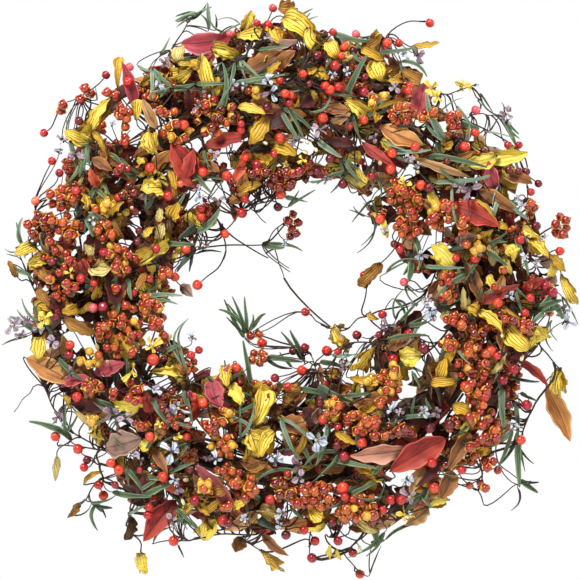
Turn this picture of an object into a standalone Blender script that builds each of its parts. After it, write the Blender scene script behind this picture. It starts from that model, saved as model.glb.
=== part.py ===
"""Harvest door wreath: a ring of twisted vines, with forty wired sprays of
berries, bittersweet, leaves and greenery tied on by florist's wire, and a wire
loop at the top of the back to hang it by.

The wreath stands in the XZ plane and faces -Y. The origin is where the nail
bears, inside the top of the hanging loop. Lengths are in metres.
"""

import math
import random

import bpy
from mathutils import Vector
from mathutils.bvhtree import BVHTree

# ---------------------------------------------------------------- dimensions
RING_RADIUS = 0.200          # vine ring, centre line
STRANDS = 5                  # main vines
STRAND_RADIUS = 0.0045
STRAND_HELIX = 0.0090        # vines lie at this radius round the centre line
STRAND_TURNS = 4
STRAND_POINTS = 34
WRAP_RADIUS = 0.0017         # thin vine wound round the five
WRAP_HELIX = 0.0170
WRAP_POINTS = 70
GROUPS = 10                  # tie wires, and bunches of sprays
TIE_WIRE = 0.0006
TIE_HELIX = 0.0184
TIE_BULGE = 0.0036           # the tie passes over the thin vine
BUNDLE_BACK = 0.0135         # centre line to the plane of the loop
EYE_DROP = 0.0240            # nail point to the eye's centre
LOOP_WIRE = 0.0010
LOOP_HALF_WIDTH = 0.0080
EYE_RADIUS = 0.0031
EYE_WIRE = 0.0009
HANGER_HELIX = 0.0158
STEM_RADIUS = 0.0012
STEM_START = 0.0153          # stems lie here, against the bundle, at the tie
CLEAR = 0.0004               # left between pieces
OUTER_RADIUS = 0.3060        # the tips of the sprays
INNER_RADIUS = 0.1005        # the open middle
FRONT_DEPTH = 0.1000         # from the ring's centre line to the front
DOOR_Y = 0.0030              # nothing but the loop goes behind this

BUNDLE = Vector((0.0, -BUNDLE_BACK, -EYE_DROP - BUNDLE_BACK))   # top of the ring
CENTRE = BUNDLE - Vector((0.0, 0.0, RING_RADIUS))

# name, base colour, roughness, metallic
MATERIALS = {
    "vine": ((0.085, 0.050, 0.034), 0.85, 0.0),
    "wire": ((0.22, 0.20, 0.18), 0.40, 1.0),
    "berry": ((0.62, 0.050, 0.020), 0.28, 0.0),
    "bittersweet": ((0.60, 0.12, 0.015), 0.35, 0.0),
    "leaf": ((0.36, 0.055, 0.030), 0.65, 0.0),
    "greenery": ((0.10, 0.20, 0.085), 0.60, 0.0),
}


def clear_scene():
    for obj in list(bpy.data.objects):
        bpy.data.objects.remove(obj, do_unlink=True)


def material(name):
    found = bpy.data.materials.get(name)
    if found is None:
        colour, roughness, metallic = MATERIALS[name]
        found = bpy.data.materials.new(name)
        found.use_nodes = True
        shader = found.node_tree.nodes["Principled BSDF"]
        shader.inputs["Base Color"].default_value = (*colour, 1.0)
        shader.inputs["Roughness"].default_value = roughness
        shader.inputs["Metallic"].default_value = metallic
    return found


def add_object(name, verts, faces, finish, collection=None):
    mesh = bpy.data.meshes.new(name)
    mesh.from_pydata([tuple(v) for v in verts], [], faces)
    mesh.validate()
    mesh.materials.append(material(finish))
    mesh.shade_smooth()
    mesh.set_sharp_from_angle(angle=math.radians(50))
    obj = bpy.data.objects.new(name, mesh)
    (collection or bpy.context.scene.collection).objects.link(obj)
    return obj


# ------------------------------------------------------------------ sweeping
def side_of(hint, along):
    side = hint.cross(along)
    if side.length < 0.2:
        side = Vector((0.31, 0.17, 0.93)).cross(along)
    return side.normalized()


def sweep(points, sizes, sides, hint, closed=False, grow=0.0):
    """Verts and faces of a tube whose section is an ellipse of (half width,
    half thickness) at each point. The thickness points along the hint."""
    count = len(points)
    verts, faces = [], []
    side = None
    for i, point in enumerate(points):
        if closed:
            along = points[(i + 1) % count] - points[i - 1]
        else:
            along = points[min(i + 1, count - 1)] - points[max(i - 1, 0)]
        along.normalize()
        side = side_of(hint, along) if side is None or closed else side - along * side.dot(along)
        side.normalize()
        normal = along.cross(side)
        half_width, half_thick = sizes[i]
        shift = Vector()
        if grow and not closed:
            shift = along * (-grow if i == 0 else grow if i == count - 1 else 0.0)
        for k in range(sides):
            turn = 2 * math.pi * (k + 0.5) / sides if sides != 4 else math.pi * k / 2
            verts.append(
                point
                + shift
                + side * (math.cos(turn) * (half_width + grow))
                + normal * (math.sin(turn) * (half_thick + grow))
            )
    rings = count if closed else count - 1
    for i in range(rings):
        a, b = i * sides, ((i + 1) % count) * sides
        for k in range(sides):
            m = (k + 1) % sides
            faces.append((a + k, a + m, b + m, b + k))
    if not closed:
        faces.append(tuple(reversed(range(sides))))
        last = (count - 1) * sides
        faces.append(tuple(last + k for k in range(sides)))
    return verts, faces


def on_ring(theta, radius, turn):
    """A point at this radius and turn round the ring's centre line. Turn 0 is
    outwards, a quarter turn is forwards."""
    out = Vector((math.cos(theta), 0.0, math.sin(theta)))
    front = Vector((0.0, -1.0, 0.0))
    return CENTRE + out * (RING_RADIUS + radius * math.cos(turn)) + front * (radius * math.sin(turn))


# ------------------------------------------------------------------ the ring
placed = {}          # name: (low, high, tree)


def box_of(verts):
    low = Vector([min(v[a] for v in verts) for a in range(3)])
    high = Vector([max(v[a] for v in verts) for a in range(3)])
    return low, high


def remember(name, shapes):
    verts, faces = [], []
    for shape_verts, shape_faces in shapes:
        base = len(verts)
        verts += shape_verts
        faces += [tuple(base + k for k in face) for face in shape_faces]
    placed[name] = (*box_of(verts), BVHTree.FromPolygons(verts, faces))


def is_free(shape, besides=()):
    verts, faces = shape
    low, high = box_of(verts)
    if high.y > DOOR_Y:
        return False
    tree = None
    for name, (other_low, other_high, other) in placed.items():
        if name in besides or any(low[a] > other_high[a] or high[a] < other_low[a] for a in range(3)):
            continue
        tree = tree or BVHTree.FromPolygons(verts, faces)
        if tree.overlap(other):
            return False
    return True


def make_ring():
    forward = Vector((0.0, 1.0, 0.0))
    for strand in range(STRANDS):
        points = []
        for i in range(STRAND_POINTS):
            theta = 2 * math.pi * i / STRAND_POINTS
            turn = STRAND_TURNS * theta + 2 * math.pi * strand / STRANDS
            points.append(on_ring(theta, STRAND_HELIX, turn))
        sizes = [(STRAND_RADIUS, STRAND_RADIUS)] * len(points)
        shape = sweep(points, sizes, 5, forward, closed=True)
        name = f"vine_strand_{strand + 1}"
        add_object(name, *shape, "vine")
        remember(name, [shape])
    points = []
    for i in range(WRAP_POINTS):
        theta = 2 * math.pi * i / WRAP_POINTS
        points.append(on_ring(theta, WRAP_HELIX, GROUPS * theta - math.pi / 2))
    shape = sweep(points, [(WRAP_RADIUS, WRAP_RADIUS)] * len(points), 4, forward, closed=True)
    add_object("wrapping_vine", *shape, "vine")
    remember("wrapping_vine", [shape])


def tie_shape(theta, helix, bulge, bulge_at, wire):
    """A ring of wire round the bundle, which bulges over the thin vine."""
    along = Vector((-math.sin(theta), 0.0, math.cos(theta)))
    points = []
    for i in range(12):
        turn = 2 * math.pi * i / 12
        near = max(0.0, math.cos(turn - bulge_at)) ** 3
        points.append(on_ring(theta, helix + bulge * near, turn))
    return sweep(points, [(wire, wire)] * 12, 3, along, closed=True)


def make_ties():
    for k in range(GROUPS):
        theta = 2 * math.pi * k / GROUPS
        shape = tie_shape(theta, TIE_HELIX, TIE_BULGE, -math.pi / 2, TIE_WIRE)
        name = f"tie_wire_{k + 1:02d}"
        add_object(name, *shape, "wire")
        remember(name, [shape])


def join(name, shapes, finish):
    """One solid from shapes that run into each other."""
    parts = bpy.data.collections.new(name + "_parts")
    bpy.context.scene.collection.children.link(parts)
    parts.hide_render = True
    for i, shape in enumerate(shapes[1:]):
        helper = add_object(f"{name}_part_{i}", *shape, finish, parts)
        helper.hide_render = True
        helper.display_type = "WIRE"
    body = add_object(name, *shapes[0], finish)
    if len(shapes) > 1:
        union = body.modifiers.new("join", "BOOLEAN")
        union.operation = "UNION"
        union.operand_type = "COLLECTION"
        union.collection = parts
        union.solver = "EXACT"
    return body


def make_hanger():
    top = math.pi / 2
    tie = tie_shape(top, HANGER_HELIX, 0.0052, math.pi / 2, EYE_WIRE)
    eye_centre = Vector((0.0, 0.0, -EYE_DROP))
    across = Vector((1.0, 0.0, 0.0))
    points = []
    for i in range(12):
        turn = 2 * math.pi * (i + 0.5) / 12
        points.append(eye_centre + Vector((0.0, math.cos(turn), math.sin(turn))) * EYE_RADIUS)
    eye = sweep(points, [(EYE_WIRE, EYE_WIRE)] * 12, 5, across, closed=True)
    join("hanger_staple", [tie, eye], "wire")
    remember("hanger_staple", [tie, eye])

    # The loop: a straight run through the eye, two sides and a round top.
    arc_centre = LOOP_WIRE - LOOP_HALF_WIDTH
    corner = 0.0025
    outline = []
    for i in range(11):
        turn = math.pi * i / 10
        outline.append((LOOP_HALF_WIDTH * math.cos(turn), arc_centre + LOOP_HALF_WIDTH * math.sin(turn)))
    for start, x, z in ((math.pi, -1, -EYE_DROP + corner), (1.5 * math.pi, 1, -EYE_DROP + corner)):
        for i in range(4):
            turn = start + i * math.pi / 6
            outline.append((x * (LOOP_HALF_WIDTH - corner) + corner * math.cos(turn), z + corner * math.sin(turn)))
    points = [Vector((x, 0.0, z)) for x, z in outline]
    loop = sweep(points, [(LOOP_WIRE, LOOP_WIRE)] * len(points), 6, Vector((0, 1, 0)), closed=True)
    add_object("hanging_loop", *loop, "wire")
    remember("hanging_loop", [loop])


# ---------------------------------------------------------------- the sprays
def curve_to(start, along, end, count):
    """Points of a twig that leaves along its stem and bends to the end."""
    reach = (end - start).length
    mid = start + along * (reach * 0.55)
    points = []
    for i in range(count):
        u = i / (count - 1)
        points.append(start * (1 - u) ** 2 + mid * (2 * u * (1 - u)) + end * u**2)
    return points


def twig_sizes(count, thick, thin):
    return [(thick + (thin - thick) * i / (count - 1),) * 2 for i in range(count)]


def berry(start, along, end, rng):
    """A twig with a ball at its end."""
    size = rng["size"] * 0.0052
    points = curve_to(start, along, end, 3)
    onward = (points[-1] - points[-2]).normalized()
    sizes = twig_sizes(3, 0.0009, 0.0007)
    for step, wide in ((0.25, 0.72), (1.00, 1.0), (1.80, 0.62)):
        points.append(end + onward * (size * step))
        sizes.append((size * wide, size * wide))
    return points, sizes, 5


def cluster(start, along, end, rng):
    """A twig with a bunch of small capsules, as one lump."""
    size = rng["size"] * 0.0095
    points = curve_to(start, along, end, 3)
    onward = (points[-1] - points[-2]).normalized()
    sizes = twig_sizes(3, 0.0010, 0.0008)
    for step, wide in ((0.20, 0.62), (1.00, 1.0), (1.80, 0.55)):
        points.append(end + onward * (size * step))
        sizes.append((size * wide, size * wide * 0.85))
    return points, sizes, 5


def flat(length, half_width, droop):
    def made(start, along, end, rng):
        """A twig with a flat blade that curves over."""
        points = curve_to(start, along, end, 3)
        onward = (points[-1] - points[-2]).normalized()
        face = onward.cross(side_of(rng["hint"], onward))
        sizes = twig_sizes(3, 0.0010, 0.0008)
        long = length * rng["size"]
        for step, wide in ((0.28, 0.95), (0.66, 0.92), (1.0, 0.12)):
            points.append(end + onward * (long * step) + face * (droop * long * step * step))
            sizes.append((max(half_width * wide, 0.0008), 0.0008))
        return points, sizes, 4

    return made


LEAF = flat(0.044, 0.0105, 0.28)
HUSK = flat(0.030, 0.0075, 0.35)
BLADE = flat(0.058, 0.0024, 0.30)

KINDS = {
    "bittersweet_spray": ("bittersweet", (cluster, cluster, HUSK)),
    "berry_spray": ("berry", (berry, berry, berry, berry)),
    "leaf_spray": ("leaf", (LEAF, LEAF, LEAF)),
    "greenery_spray": ("greenery", (BLADE, BLADE, BLADE, BLADE)),
}
# Where each bunch's four stems lie round the bundle, and how far they spread.
LANES = ((0.20, 0.084), (1.05, 0.066), (1.90, 0.062), (2.92, 0.062))
TWIG = {"berry": 0.024, "bittersweet": 0.022, "leaf": 0.018, "greenery": 0.020}


def stem_points(tie, turn, spread, sweep_angle, count=8):
    """The stem passes under its tie and sweeps clockwise, away from the ring."""
    points = []
    for i in range(count):
        s = i / (count - 1)
        theta = tie + math.radians(4.5) - math.radians(sweep_angle) * s
        ease = max(0.0, (s - 0.16) / 0.84) ** 1.25
        radius = STEM_START + (spread - STEM_START) * ease
        points.append(on_ring(theta, radius, turn + 0.10 * math.sin(3.0 * s)))
    return points


def outwards(point):
    out = point - CENTRE
    out.y = 0.0
    return out.normalized()


def in_limits(verts, is_tip):
    """Inside the wreath's outline and depth. An outer tip also reaches it."""
    spans = [math.hypot(v.x - CENTRE.x, v.z - CENTRE.z) for v in verts]
    reach = max(spans)
    if min(spans) < INNER_RADIUS:
        return False
    deep = max(CENTRE.y - v.y for v in verts)
    return reach < OUTER_RADIUS and deep < FRONT_DEPTH and (reach > OUTER_RADIUS - 0.012 or not is_tip)


def make_spray(name, kind, tie, lane, seed):
    """A stem that ends in one element, with the others on side twigs. Each is
    tried in new directions until it clears the pieces already there."""
    finish, elements = KINDS[kind]
    rng = random.Random(seed)
    turn0, spread0 = LANES[lane]
    forward = Vector((0.0, -1.0, 0.0))
    for attempt in range(200):
        turn = turn0 + rng.uniform(-0.10, 0.10) * (1 + attempt / 25)
        spread = spread0 * rng.uniform(0.86, 1.10)
        stem = stem_points(tie, turn, spread, rng.uniform(38, 47))
        along = (stem[-1] - stem[-2]).normalized()
        out = outwards(stem[-1])
        lean = math.cos(turn)
        direction = (along * 1.3 + out * (rng.uniform(-0.2, 0.2) + 0.5 * lean) + forward * rng.uniform(0.0, 0.35)).normalized()
        end = stem[-1] + direction * TWIG[finish] * rng.uniform(0.5, 1.0)
        hint = Vector((rng.uniform(-0.4, 0.4), -1.0, rng.uniform(-0.4, 0.4))).normalized()
        points, sizes, sides = elements[0](stem[-1], along, end, {"size": rng.uniform(0.9, 1.12), "hint": hint})
        points = stem + points[1:]
        sizes = twig_sizes(len(stem), STEM_RADIUS, STEM_RADIUS * 0.8) + sizes[1:]
        trial = sweep(points, sizes, sides, hint, grow=CLEAR)
        if in_limits(trial[0], lane == 0 and attempt < 120) and is_free(trial):
            break
    else:
        print("no room for", name)
        return
    shapes = [sweep(points, sizes, sides, hint)]
    for k, made in enumerate(elements[1:]):
        at = 3 + k
        start = stem[at]
        along = (stem[at + 1] - stem[at - 1]).normalized()
        out = outwards(start)
        for attempt in range(60):
            direction = (
                along
                + out * (rng.uniform(-0.9, 0.9) + 0.55 * lean)
                + forward * rng.uniform(0.2, 0.8)
            ).normalized()
            end = start + direction * TWIG[finish] * rng.uniform(0.7, 1.3)
            hint = Vector((rng.uniform(-0.5, 0.5), -1.0, rng.uniform(-0.5, 0.5))).normalized()
            points, sizes, sides = made(start, along, end, {"size": rng.uniform(0.85, 1.12), "hint": hint})
            trial = sweep(points, sizes, sides, hint, grow=CLEAR)
            if in_limits(trial[0], False) and is_free(trial):
                shapes.append(sweep(points, sizes, sides, hint))
                break
    join(name, shapes, finish)
    remember(name, shapes)


def make_sprays():
    kinds = list(KINDS)
    for k in range(GROUPS):
        tie = math.pi / 2 + math.radians(18) - 2 * math.pi * k / GROUPS
        for lane in range(4):
            kind = kinds[(lane + k) % 4]
            make_spray(f"{kind}_{k + 1:02d}", kind, tie, lane, 100 * k + lane + 7)


clear_scene()
make_ring()
make_ties()
make_hanger()
make_sprays()
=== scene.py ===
import math

import bpy
import numpy as np
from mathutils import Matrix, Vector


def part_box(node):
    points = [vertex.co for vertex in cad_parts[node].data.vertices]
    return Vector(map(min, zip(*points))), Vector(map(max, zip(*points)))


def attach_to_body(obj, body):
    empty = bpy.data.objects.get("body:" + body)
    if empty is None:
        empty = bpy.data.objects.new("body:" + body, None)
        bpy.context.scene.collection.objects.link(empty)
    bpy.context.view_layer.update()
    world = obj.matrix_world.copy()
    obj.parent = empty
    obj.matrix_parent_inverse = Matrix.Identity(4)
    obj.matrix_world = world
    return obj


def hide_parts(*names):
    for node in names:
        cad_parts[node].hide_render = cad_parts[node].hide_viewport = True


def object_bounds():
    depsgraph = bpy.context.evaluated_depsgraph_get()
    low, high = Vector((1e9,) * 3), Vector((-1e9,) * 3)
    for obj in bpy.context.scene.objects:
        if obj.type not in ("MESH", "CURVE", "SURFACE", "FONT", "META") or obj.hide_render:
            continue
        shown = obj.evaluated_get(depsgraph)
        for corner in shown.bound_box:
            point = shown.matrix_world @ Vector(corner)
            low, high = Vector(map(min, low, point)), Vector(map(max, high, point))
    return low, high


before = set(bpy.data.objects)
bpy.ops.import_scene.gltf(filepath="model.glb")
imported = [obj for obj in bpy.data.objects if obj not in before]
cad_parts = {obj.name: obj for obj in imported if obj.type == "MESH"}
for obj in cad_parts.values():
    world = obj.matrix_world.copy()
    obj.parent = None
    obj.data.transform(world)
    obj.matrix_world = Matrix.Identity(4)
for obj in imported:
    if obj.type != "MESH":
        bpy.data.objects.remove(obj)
CAD_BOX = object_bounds()

# ------------------------------------------------------------ the frame's facts
strand_low = np.min([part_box(f"vine_strand_{i}")[0] for i in range(1, 6)], axis=0)
strand_high = np.max([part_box(f"vine_strand_{i}")[1] for i in range(1, 6)], axis=0)
CENTRE = (strand_low + strand_high) / 2          # of the vine ring
RING = 0.200                                     # its centre line's radius
BUNDLE = 0.0135
ROOT = "wreath"
LOOP = "loop"
U = 0.00105                                      # one layout unit, in metres
CAM_Y = -6.0
REF_Y = CENTRE[1] - 0.045                        # the layout's plane
rng = np.random.default_rng(20)


def unit(v):
    return v / np.maximum(np.linalg.norm(v, axis=-1, keepdims=True), 1e-12)


def place(x, y, depth):
    """Layout units (x right, y down, the ring's centre at 290, 287) at a depth in
    metres in front of the ring's centre line."""
    x, y, depth = np.broadcast_arrays(np.asarray(x, float), np.asarray(y, float), np.asarray(depth, float))
    wy = CENTRE[1] - depth
    k = (wy - CAM_Y) / (REF_Y - CAM_Y)
    return np.stack([(x - 290) * U * k, wy, CENTRE[2] - 3 * U - (y - 290) * U * k], axis=-1)


def front(x, y):
    """How far in front of the ring's centre line the foliage's face lies there."""
    rho = np.hypot(np.asarray(x, float) - 290, np.asarray(y, float) - 287)
    t = (rho - 182.0) / 112.0
    return 0.016 + 0.066 * np.sqrt(np.clip(1 - t * t, 0, 1))


# ----------------------------------------------------------------- mesh writing
STYLES = {}          # name: (index, material)
VARIANTS = 6
CELLS = 16


class Bunch:
    """Collects shells. Each is a grid of rings, with a point at either end."""

    def __init__(self):
        self.verts, self.tpl, self.var = [], [], []
        self.loops, self.sizes, self.uvs, self.slots = [], [], [], []
        self.count = 0

    def add(self, P, tpl, style, ends=None, end_tpl=None, closed=False, variants=None):
        N, R, C = P.shape[:3]
        index, _ = STYLES[style]
        if variants is None:
            variants = rng.integers(0, VARIANTS, N)
        tpl = np.broadcast_to(tpl, (N, R, C, 3)) if np.ndim(tpl) != 5 else tpl
        per = R * C + (0 if closed else 2)
        verts = np.empty((N, per, 3))
        co = np.empty((N, per, 3))
        verts[:, : R * C] = P.reshape(N, R * C, 3)
        co[:, : R * C] = tpl.reshape(N, R * C, 3)
        if not closed:
            verts[:, R * C] = ends[0]
            verts[:, R * C + 1] = ends[1]
            co[:, R * C] = end_tpl[0]
            co[:, R * C + 1] = end_tpl[1]
        rows = R if closed else R - 1
        r, c = np.meshgrid(np.arange(rows), np.arange(C), indexing="ij")
        r, c = r.ravel(), c.ravel()
        r2, c2 = (r + 1) % R, (c + 1) % C
        quads = np.stack([r * C + c, r * C + c2, r2 * C + c2, r2 * C + c], 1)
        q_uv = np.stack([
            np.stack([c / C, (r + 1) / (R + 1)], 1), np.stack([(c + 1) / C, (r + 1) / (R + 1)], 1),
            np.stack([(c + 1) / C, (r + 2) / (R + 1)], 1), np.stack([c / C, (r + 2) / (R + 1)], 1)], 1)
        base = self.count + np.arange(N) * per
        cell = index * VARIANTS + variants
        corner = np.stack([cell % CELLS, cell // CELLS], 1) / CELLS
        scale = 0.94 / CELLS
        off = 0.03 / CELLS
        self.loops.append((quads[None] + base[:, None, None]).reshape(-1))
        self.sizes.append(np.full(N * len(quads), 4))
        self.uvs.append((q_uv[None] * scale + corner[:, None, None] + off).reshape(-1, 2))
        self.slots.append((np.full(N * len(quads), index)))
        if not closed:
            k = np.arange(C)
            k2 = (k + 1) % C
            low = np.stack([np.full(C, R * C), k2, k], 1)
            high = np.stack([np.full(C, R * C + 1), (R - 1) * C + k, (R - 1) * C + k2], 1)
            tris = np.concatenate([low, high])
            z = np.zeros(C)
            o = np.ones(C)
            l_uv = np.stack([np.stack([(k + 0.5) / C, z], 1), np.stack([(k + 1) / C, o / (R + 1)], 1), np.stack([k / C, o / (R + 1)], 1)], 1)
            h_uv = np.stack([np.stack([(k + 0.5) / C, o], 1), np.stack([k / C, o * R / (R + 1)], 1), np.stack([(k + 1) / C, o * R / (R + 1)], 1)], 1)
            t_uv = np.concatenate([l_uv, h_uv])
            self.loops.append((tris[None] + base[:, None, None]).reshape(-1))
            self.sizes.append(np.full(N * len(tris), 3))
            self.uvs.append((t_uv[None] * scale + corner[:, None, None] + off).reshape(-1, 2))
            self.slots.append(np.full(N * len(tris), index))
        self.verts.append(verts.reshape(-1, 3))
        self.tpl.append(co.reshape(-1, 3))
        self.var.append(np.repeat((variants + 0.5) / VARIANTS, per))
        self.count += N * per

    def build(self, name):
        verts = np.concatenate(self.verts)
        loops = np.concatenate(self.loops)
        sizes = np.concatenate(self.sizes)
        slots = np.concatenate(self.slots)
        uvs = np.concatenate(self.uvs)
        mesh = bpy.data.meshes.new(name)
        mesh.vertices.add(len(verts))
        mesh.vertices.foreach_set("co", verts.astype(np.float32).ravel())
        mesh.loops.add(len(loops))
        mesh.loops.foreach_set("vertex_index", loops.astype(np.int32))
        mesh.polygons.add(len(sizes))
        mesh.polygons.foreach_set("loop_start", (np.cumsum(sizes) - sizes).astype(np.int32))
        used = sorted(set(slots.tolist()))
        names = {i: m for i, m in STYLES.values()}
        for i in used:
            mesh.materials.append(names[i])
        remap = np.zeros(max(used) + 1, int)
        remap[used] = np.arange(len(used))
        mesh.polygons.foreach_set("material_index", remap[slots].astype(np.int32))
        mesh.polygons.foreach_set("use_smooth", np.ones(len(sizes), bool))
        layer = mesh.uv_layers.new(name="OFBake")
        layer.data.foreach_set("uv", uvs.astype(np.float32).ravel())
        tpl = mesh.attributes.new("tpl", "FLOAT_VECTOR", "POINT")
        tpl.data.foreach_set("vector", np.concatenate(self.tpl).astype(np.float32).ravel())
        var = mesh.attributes.new("var", "FLOAT", "POINT")
        var.data.foreach_set("value", np.concatenate(self.var).astype(np.float32))
        mesh.update(calc_edges=True)
        mesh.validate()
        obj = bpy.data.objects.new(name, mesh)
        bpy.context.scene.collection.objects.link(obj)
        return obj


# -------------------------------------------------------------------- materials
def lin(c):
    return tuple(((v + 0.055) / 1.055) ** 2.4 if v > 0.04045 else v / 12.92 for v in c) + (1.0,)


class Graph:
    def __init__(self, name):
        self.mat = bpy.data.materials.new(name)
        self.mat.use_nodes = True
        self.nt = self.mat.node_tree
        self.bsdf = self.nt.nodes["Principled BSDF"]

    def node(self, kind, **settings):
        n = self.nt.nodes.new(kind)
        for key, value in settings.items():
            setattr(n, key, value)
        return n

    def put(self, socket, value):
        if isinstance(value, bpy.types.NodeSocket):
            self.nt.links.new(value, socket)
        else:
            socket.default_value = value

    def attr(self, name):
        n = self.node("ShaderNodeAttribute", attribute_type="GEOMETRY", attribute_name=name)
        return n.outputs["Vector"] if name == "tpl" else n.outputs["Fac"]

    def split(self, vec):
        n = self.node("ShaderNodeSeparateXYZ")
        self.put(n.inputs[0], vec)
        return n.outputs

    def join(self, x, y, z):
        n = self.node("ShaderNodeCombineXYZ")
        for s, v in zip(n.inputs, (x, y, z)):
            self.put(s, v)
        return n.outputs[0]

    def math(self, op, a, b=0.0, c=None, clamp=False):
        n = self.node("ShaderNodeMath", operation=op, use_clamp=clamp)
        self.put(n.inputs[0], a)
        self.put(n.inputs[1], b)
        if c is not None:
            self.put(n.inputs[2], c)
        return n.outputs[0]

    def noise(self, vec, scale, detail=3.0, rough=0.55, distortion=0.0):
        n = self.node("ShaderNodeTexNoise")
        self.put(n.inputs["Vector"], vec)
        n.inputs["Scale"].default_value = scale
        n.inputs["Detail"].default_value = detail
        n.inputs["Roughness"].default_value = rough
        n.inputs["Distortion"].default_value = distortion
        return n.outputs["Fac"]

    def span(self, value, low, high, to_low=0.0, to_high=1.0, smooth=True):
        n = self.node("ShaderNodeMapRange", interpolation_type="SMOOTHSTEP" if smooth else "LINEAR")
        for s, v in zip(n.inputs[:5], (value, low, high, to_low, to_high)):
            self.put(s, v)
        return n.outputs[0]

    def mix(self, fac, a, b, mode="MIX"):
        n = self.node("ShaderNodeMix", data_type="RGBA", blend_type=mode)
        self.put(n.inputs[0], fac)
        self.put(n.inputs[6], a if isinstance(a, bpy.types.NodeSocket) else lin(a))
        self.put(n.inputs[7], b if isinstance(b, bpy.types.NodeSocket) else lin(b))
        return n.outputs[2]

    def tone(self, colour, low=0.78, high=1.16, seed=5.31):
        """Each variant's own lightness."""
        f = self.math("FRACT", self.math("MULTIPLY", self.attr("var"), seed))
        v = self.span(f, 0.0, 1.0, low, high, smooth=False)
        n = self.node("ShaderNodeHueSaturation")
        n.inputs["Saturation"].default_value = 1.0
        self.put(n.inputs["Value"], v)
        self.put(n.inputs["Color"], colour)
        return n.outputs[0]

    def seeded(self):
        """Template coordinates, moved on by the variant."""
        x, y, z = self.split(self.attr("tpl"))
        v = self.attr("var")
        return self.join(self.math("ADD", x, self.math("MULTIPLY", v, 17.0)), self.math("ADD", y, self.math("MULTIPLY", v, 9.0)), z)

    def finish(self, colour, rough, bump=None, strength=0.3, distance=0.0005, **sockets):
        self.put(self.bsdf.inputs["Base Color"], colour)
        self.put(self.bsdf.inputs["Roughness"], rough)
        for key, value in sockets.items():
            self.bsdf.inputs[key.replace("_", " ")].default_value = value
        if bump is not None:
            b = self.node("ShaderNodeBump")
            b.inputs["Strength"].default_value = strength
            b.inputs["Distance"].default_value = distance
            self.put(b.inputs["Height"], bump)
            self.put(self.bsdf.inputs["Normal"], b.outputs[0])
        return self.mat


def style(name, mat):
    STYLES[name] = (len(STYLES), mat)


def berry_mat(name, base, deep, light, rough=0.30, dot=0.75, coat=0.25):
    g = Graph(name)
    s = g.seeded()
    x, y, z = g.split(g.attr("tpl"))
    n = g.noise(s, 2.2, 4.0)
    fine = g.noise(s, 14.0, 3.0)
    c = g.mix(g.span(n, 0.38, 0.66), deep, base)
    # Painted highlight: the far end, which faces out towards the lamps, is lightened towards the light colour.
    c = g.mix(g.span(z, -0.1, 1.0, 0.0, 0.45), c, light)
    c = g.mix(g.span(fine, 0.62, 0.74, 0.0, 0.35), c, deep)
    c = g.mix(g.span(z, 0.972, 0.99, 0.0, dot), c, (0.20, 0.08, 0.05))
    c = g.mix(g.span(z, -0.80, -0.97), c, (0.22, 0.10, 0.06))
    c = g.tone(c, 0.86, 1.12)
    style(name, g.finish(c, g.span(fine, 0.3, 0.7, rough - 0.06, rough + 0.12), g.noise(s, 5.0, 3.0), 0.25, 0.0004,
                         Coat_Weight=coat, Coat_Roughness=0.14, Specular_IOR_Level=0.5))


def valve_mat(name, base, deep, light):
    """The husk of a bittersweet capsule."""
    g = Graph(name)
    s = g.seeded()
    x, y, z = g.split(g.attr("tpl"))
    n = g.noise(s, 3.0, 3.0)
    c = g.mix(g.span(n, 0.35, 0.65), base, light)
    c = g.mix(g.span(y, 0.55, 0.0, 0.0, 0.85), c, deep)
    c = g.mix(g.span(g.math("ABSOLUTE", x), 0.65, 1.0, 0.0, 0.5), c, deep)
    c = g.tone(c, 0.8, 1.15)
    style(name, g.finish(c, 0.42, n, 0.3, 0.0004, Coat_Weight=0.1, Coat_Roughness=0.3))


def husk_mat(name, base, stripe, light, back, amount=1.0, lines=5.0):
    """A crumpled husk leaf, with broken dark lines along it."""
    g = Graph(name)
    s = g.seeded()
    x, y, z = g.split(g.attr("tpl"))
    v = g.attr("var")
    warp = g.noise(g.join(g.math("MULTIPLY", x, 1.2), g.math("MULTIPLY", y, 1.3), g.math("MULTIPLY", v, 31.0)), 1.0, 2.0)
    many = g.math("MULTIPLY_ADD", g.math("FRACT", g.math("MULTIPLY", v, 3.7)), lines * 0.60, lines * 0.80)
    lane = g.math("MULTIPLY_ADD", x, many, g.math("MULTIPLY", warp, 1.1))
    wave = g.math("ABSOLUTE", g.math("SINE", g.math("MULTIPLY", lane, math.pi / 2)))
    breaks = g.noise(g.join(g.math("MULTIPLY", x, 3.0), g.math("MULTIPLY", y, 4.0), g.math("MULTIPLY", v, 13.0)), 1.3, 3.0)
    line = g.math("MULTIPLY", g.span(wave, 0.42, 0.16), g.span(breaks, 0.34, 0.44), clamp=True)
    line = g.math("MULTIPLY", line, g.span(y, 0.97, 0.80, 0.25, 1.0), clamp=True)
    mottle = g.noise(s, 2.5, 5.0)
    c = g.mix(g.span(mottle, 0.35, 0.68), base, light)
    c = g.mix(g.span(y, 0.22, 0.0, 0.0, 0.6), c, stripe)
    # Painted shade: one side of the husk is darkened towards the back colour, broken up by the mottle.
    side_shade = g.span(g.math("MULTIPLY_ADD", mottle, 1.2, x), 0.3, 1.6, 0.0, 0.45)
    c = g.mix(side_shade, c, back)
    edge = g.span(g.math("ABSOLUTE", x), 0.90, 1.0, 0.0, 0.7)
    c = g.mix(edge, c, stripe)
    c = g.mix(g.math("MULTIPLY", line, amount), c, stripe)
    c = g.mix(g.span(z, 0.05, -0.1, 0.0, 0.75), c, back)
    c = g.tone(c, 0.90, 1.12)
    crumple = g.math("ADD", g.math("MULTIPLY", wave, 0.6), mottle)
    style(name, g.finish(c, g.span(mottle, 0.3, 0.7, 0.42, 0.62), crumple, 0.8, 0.0012, Specular_IOR_Level=0.4))


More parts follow.
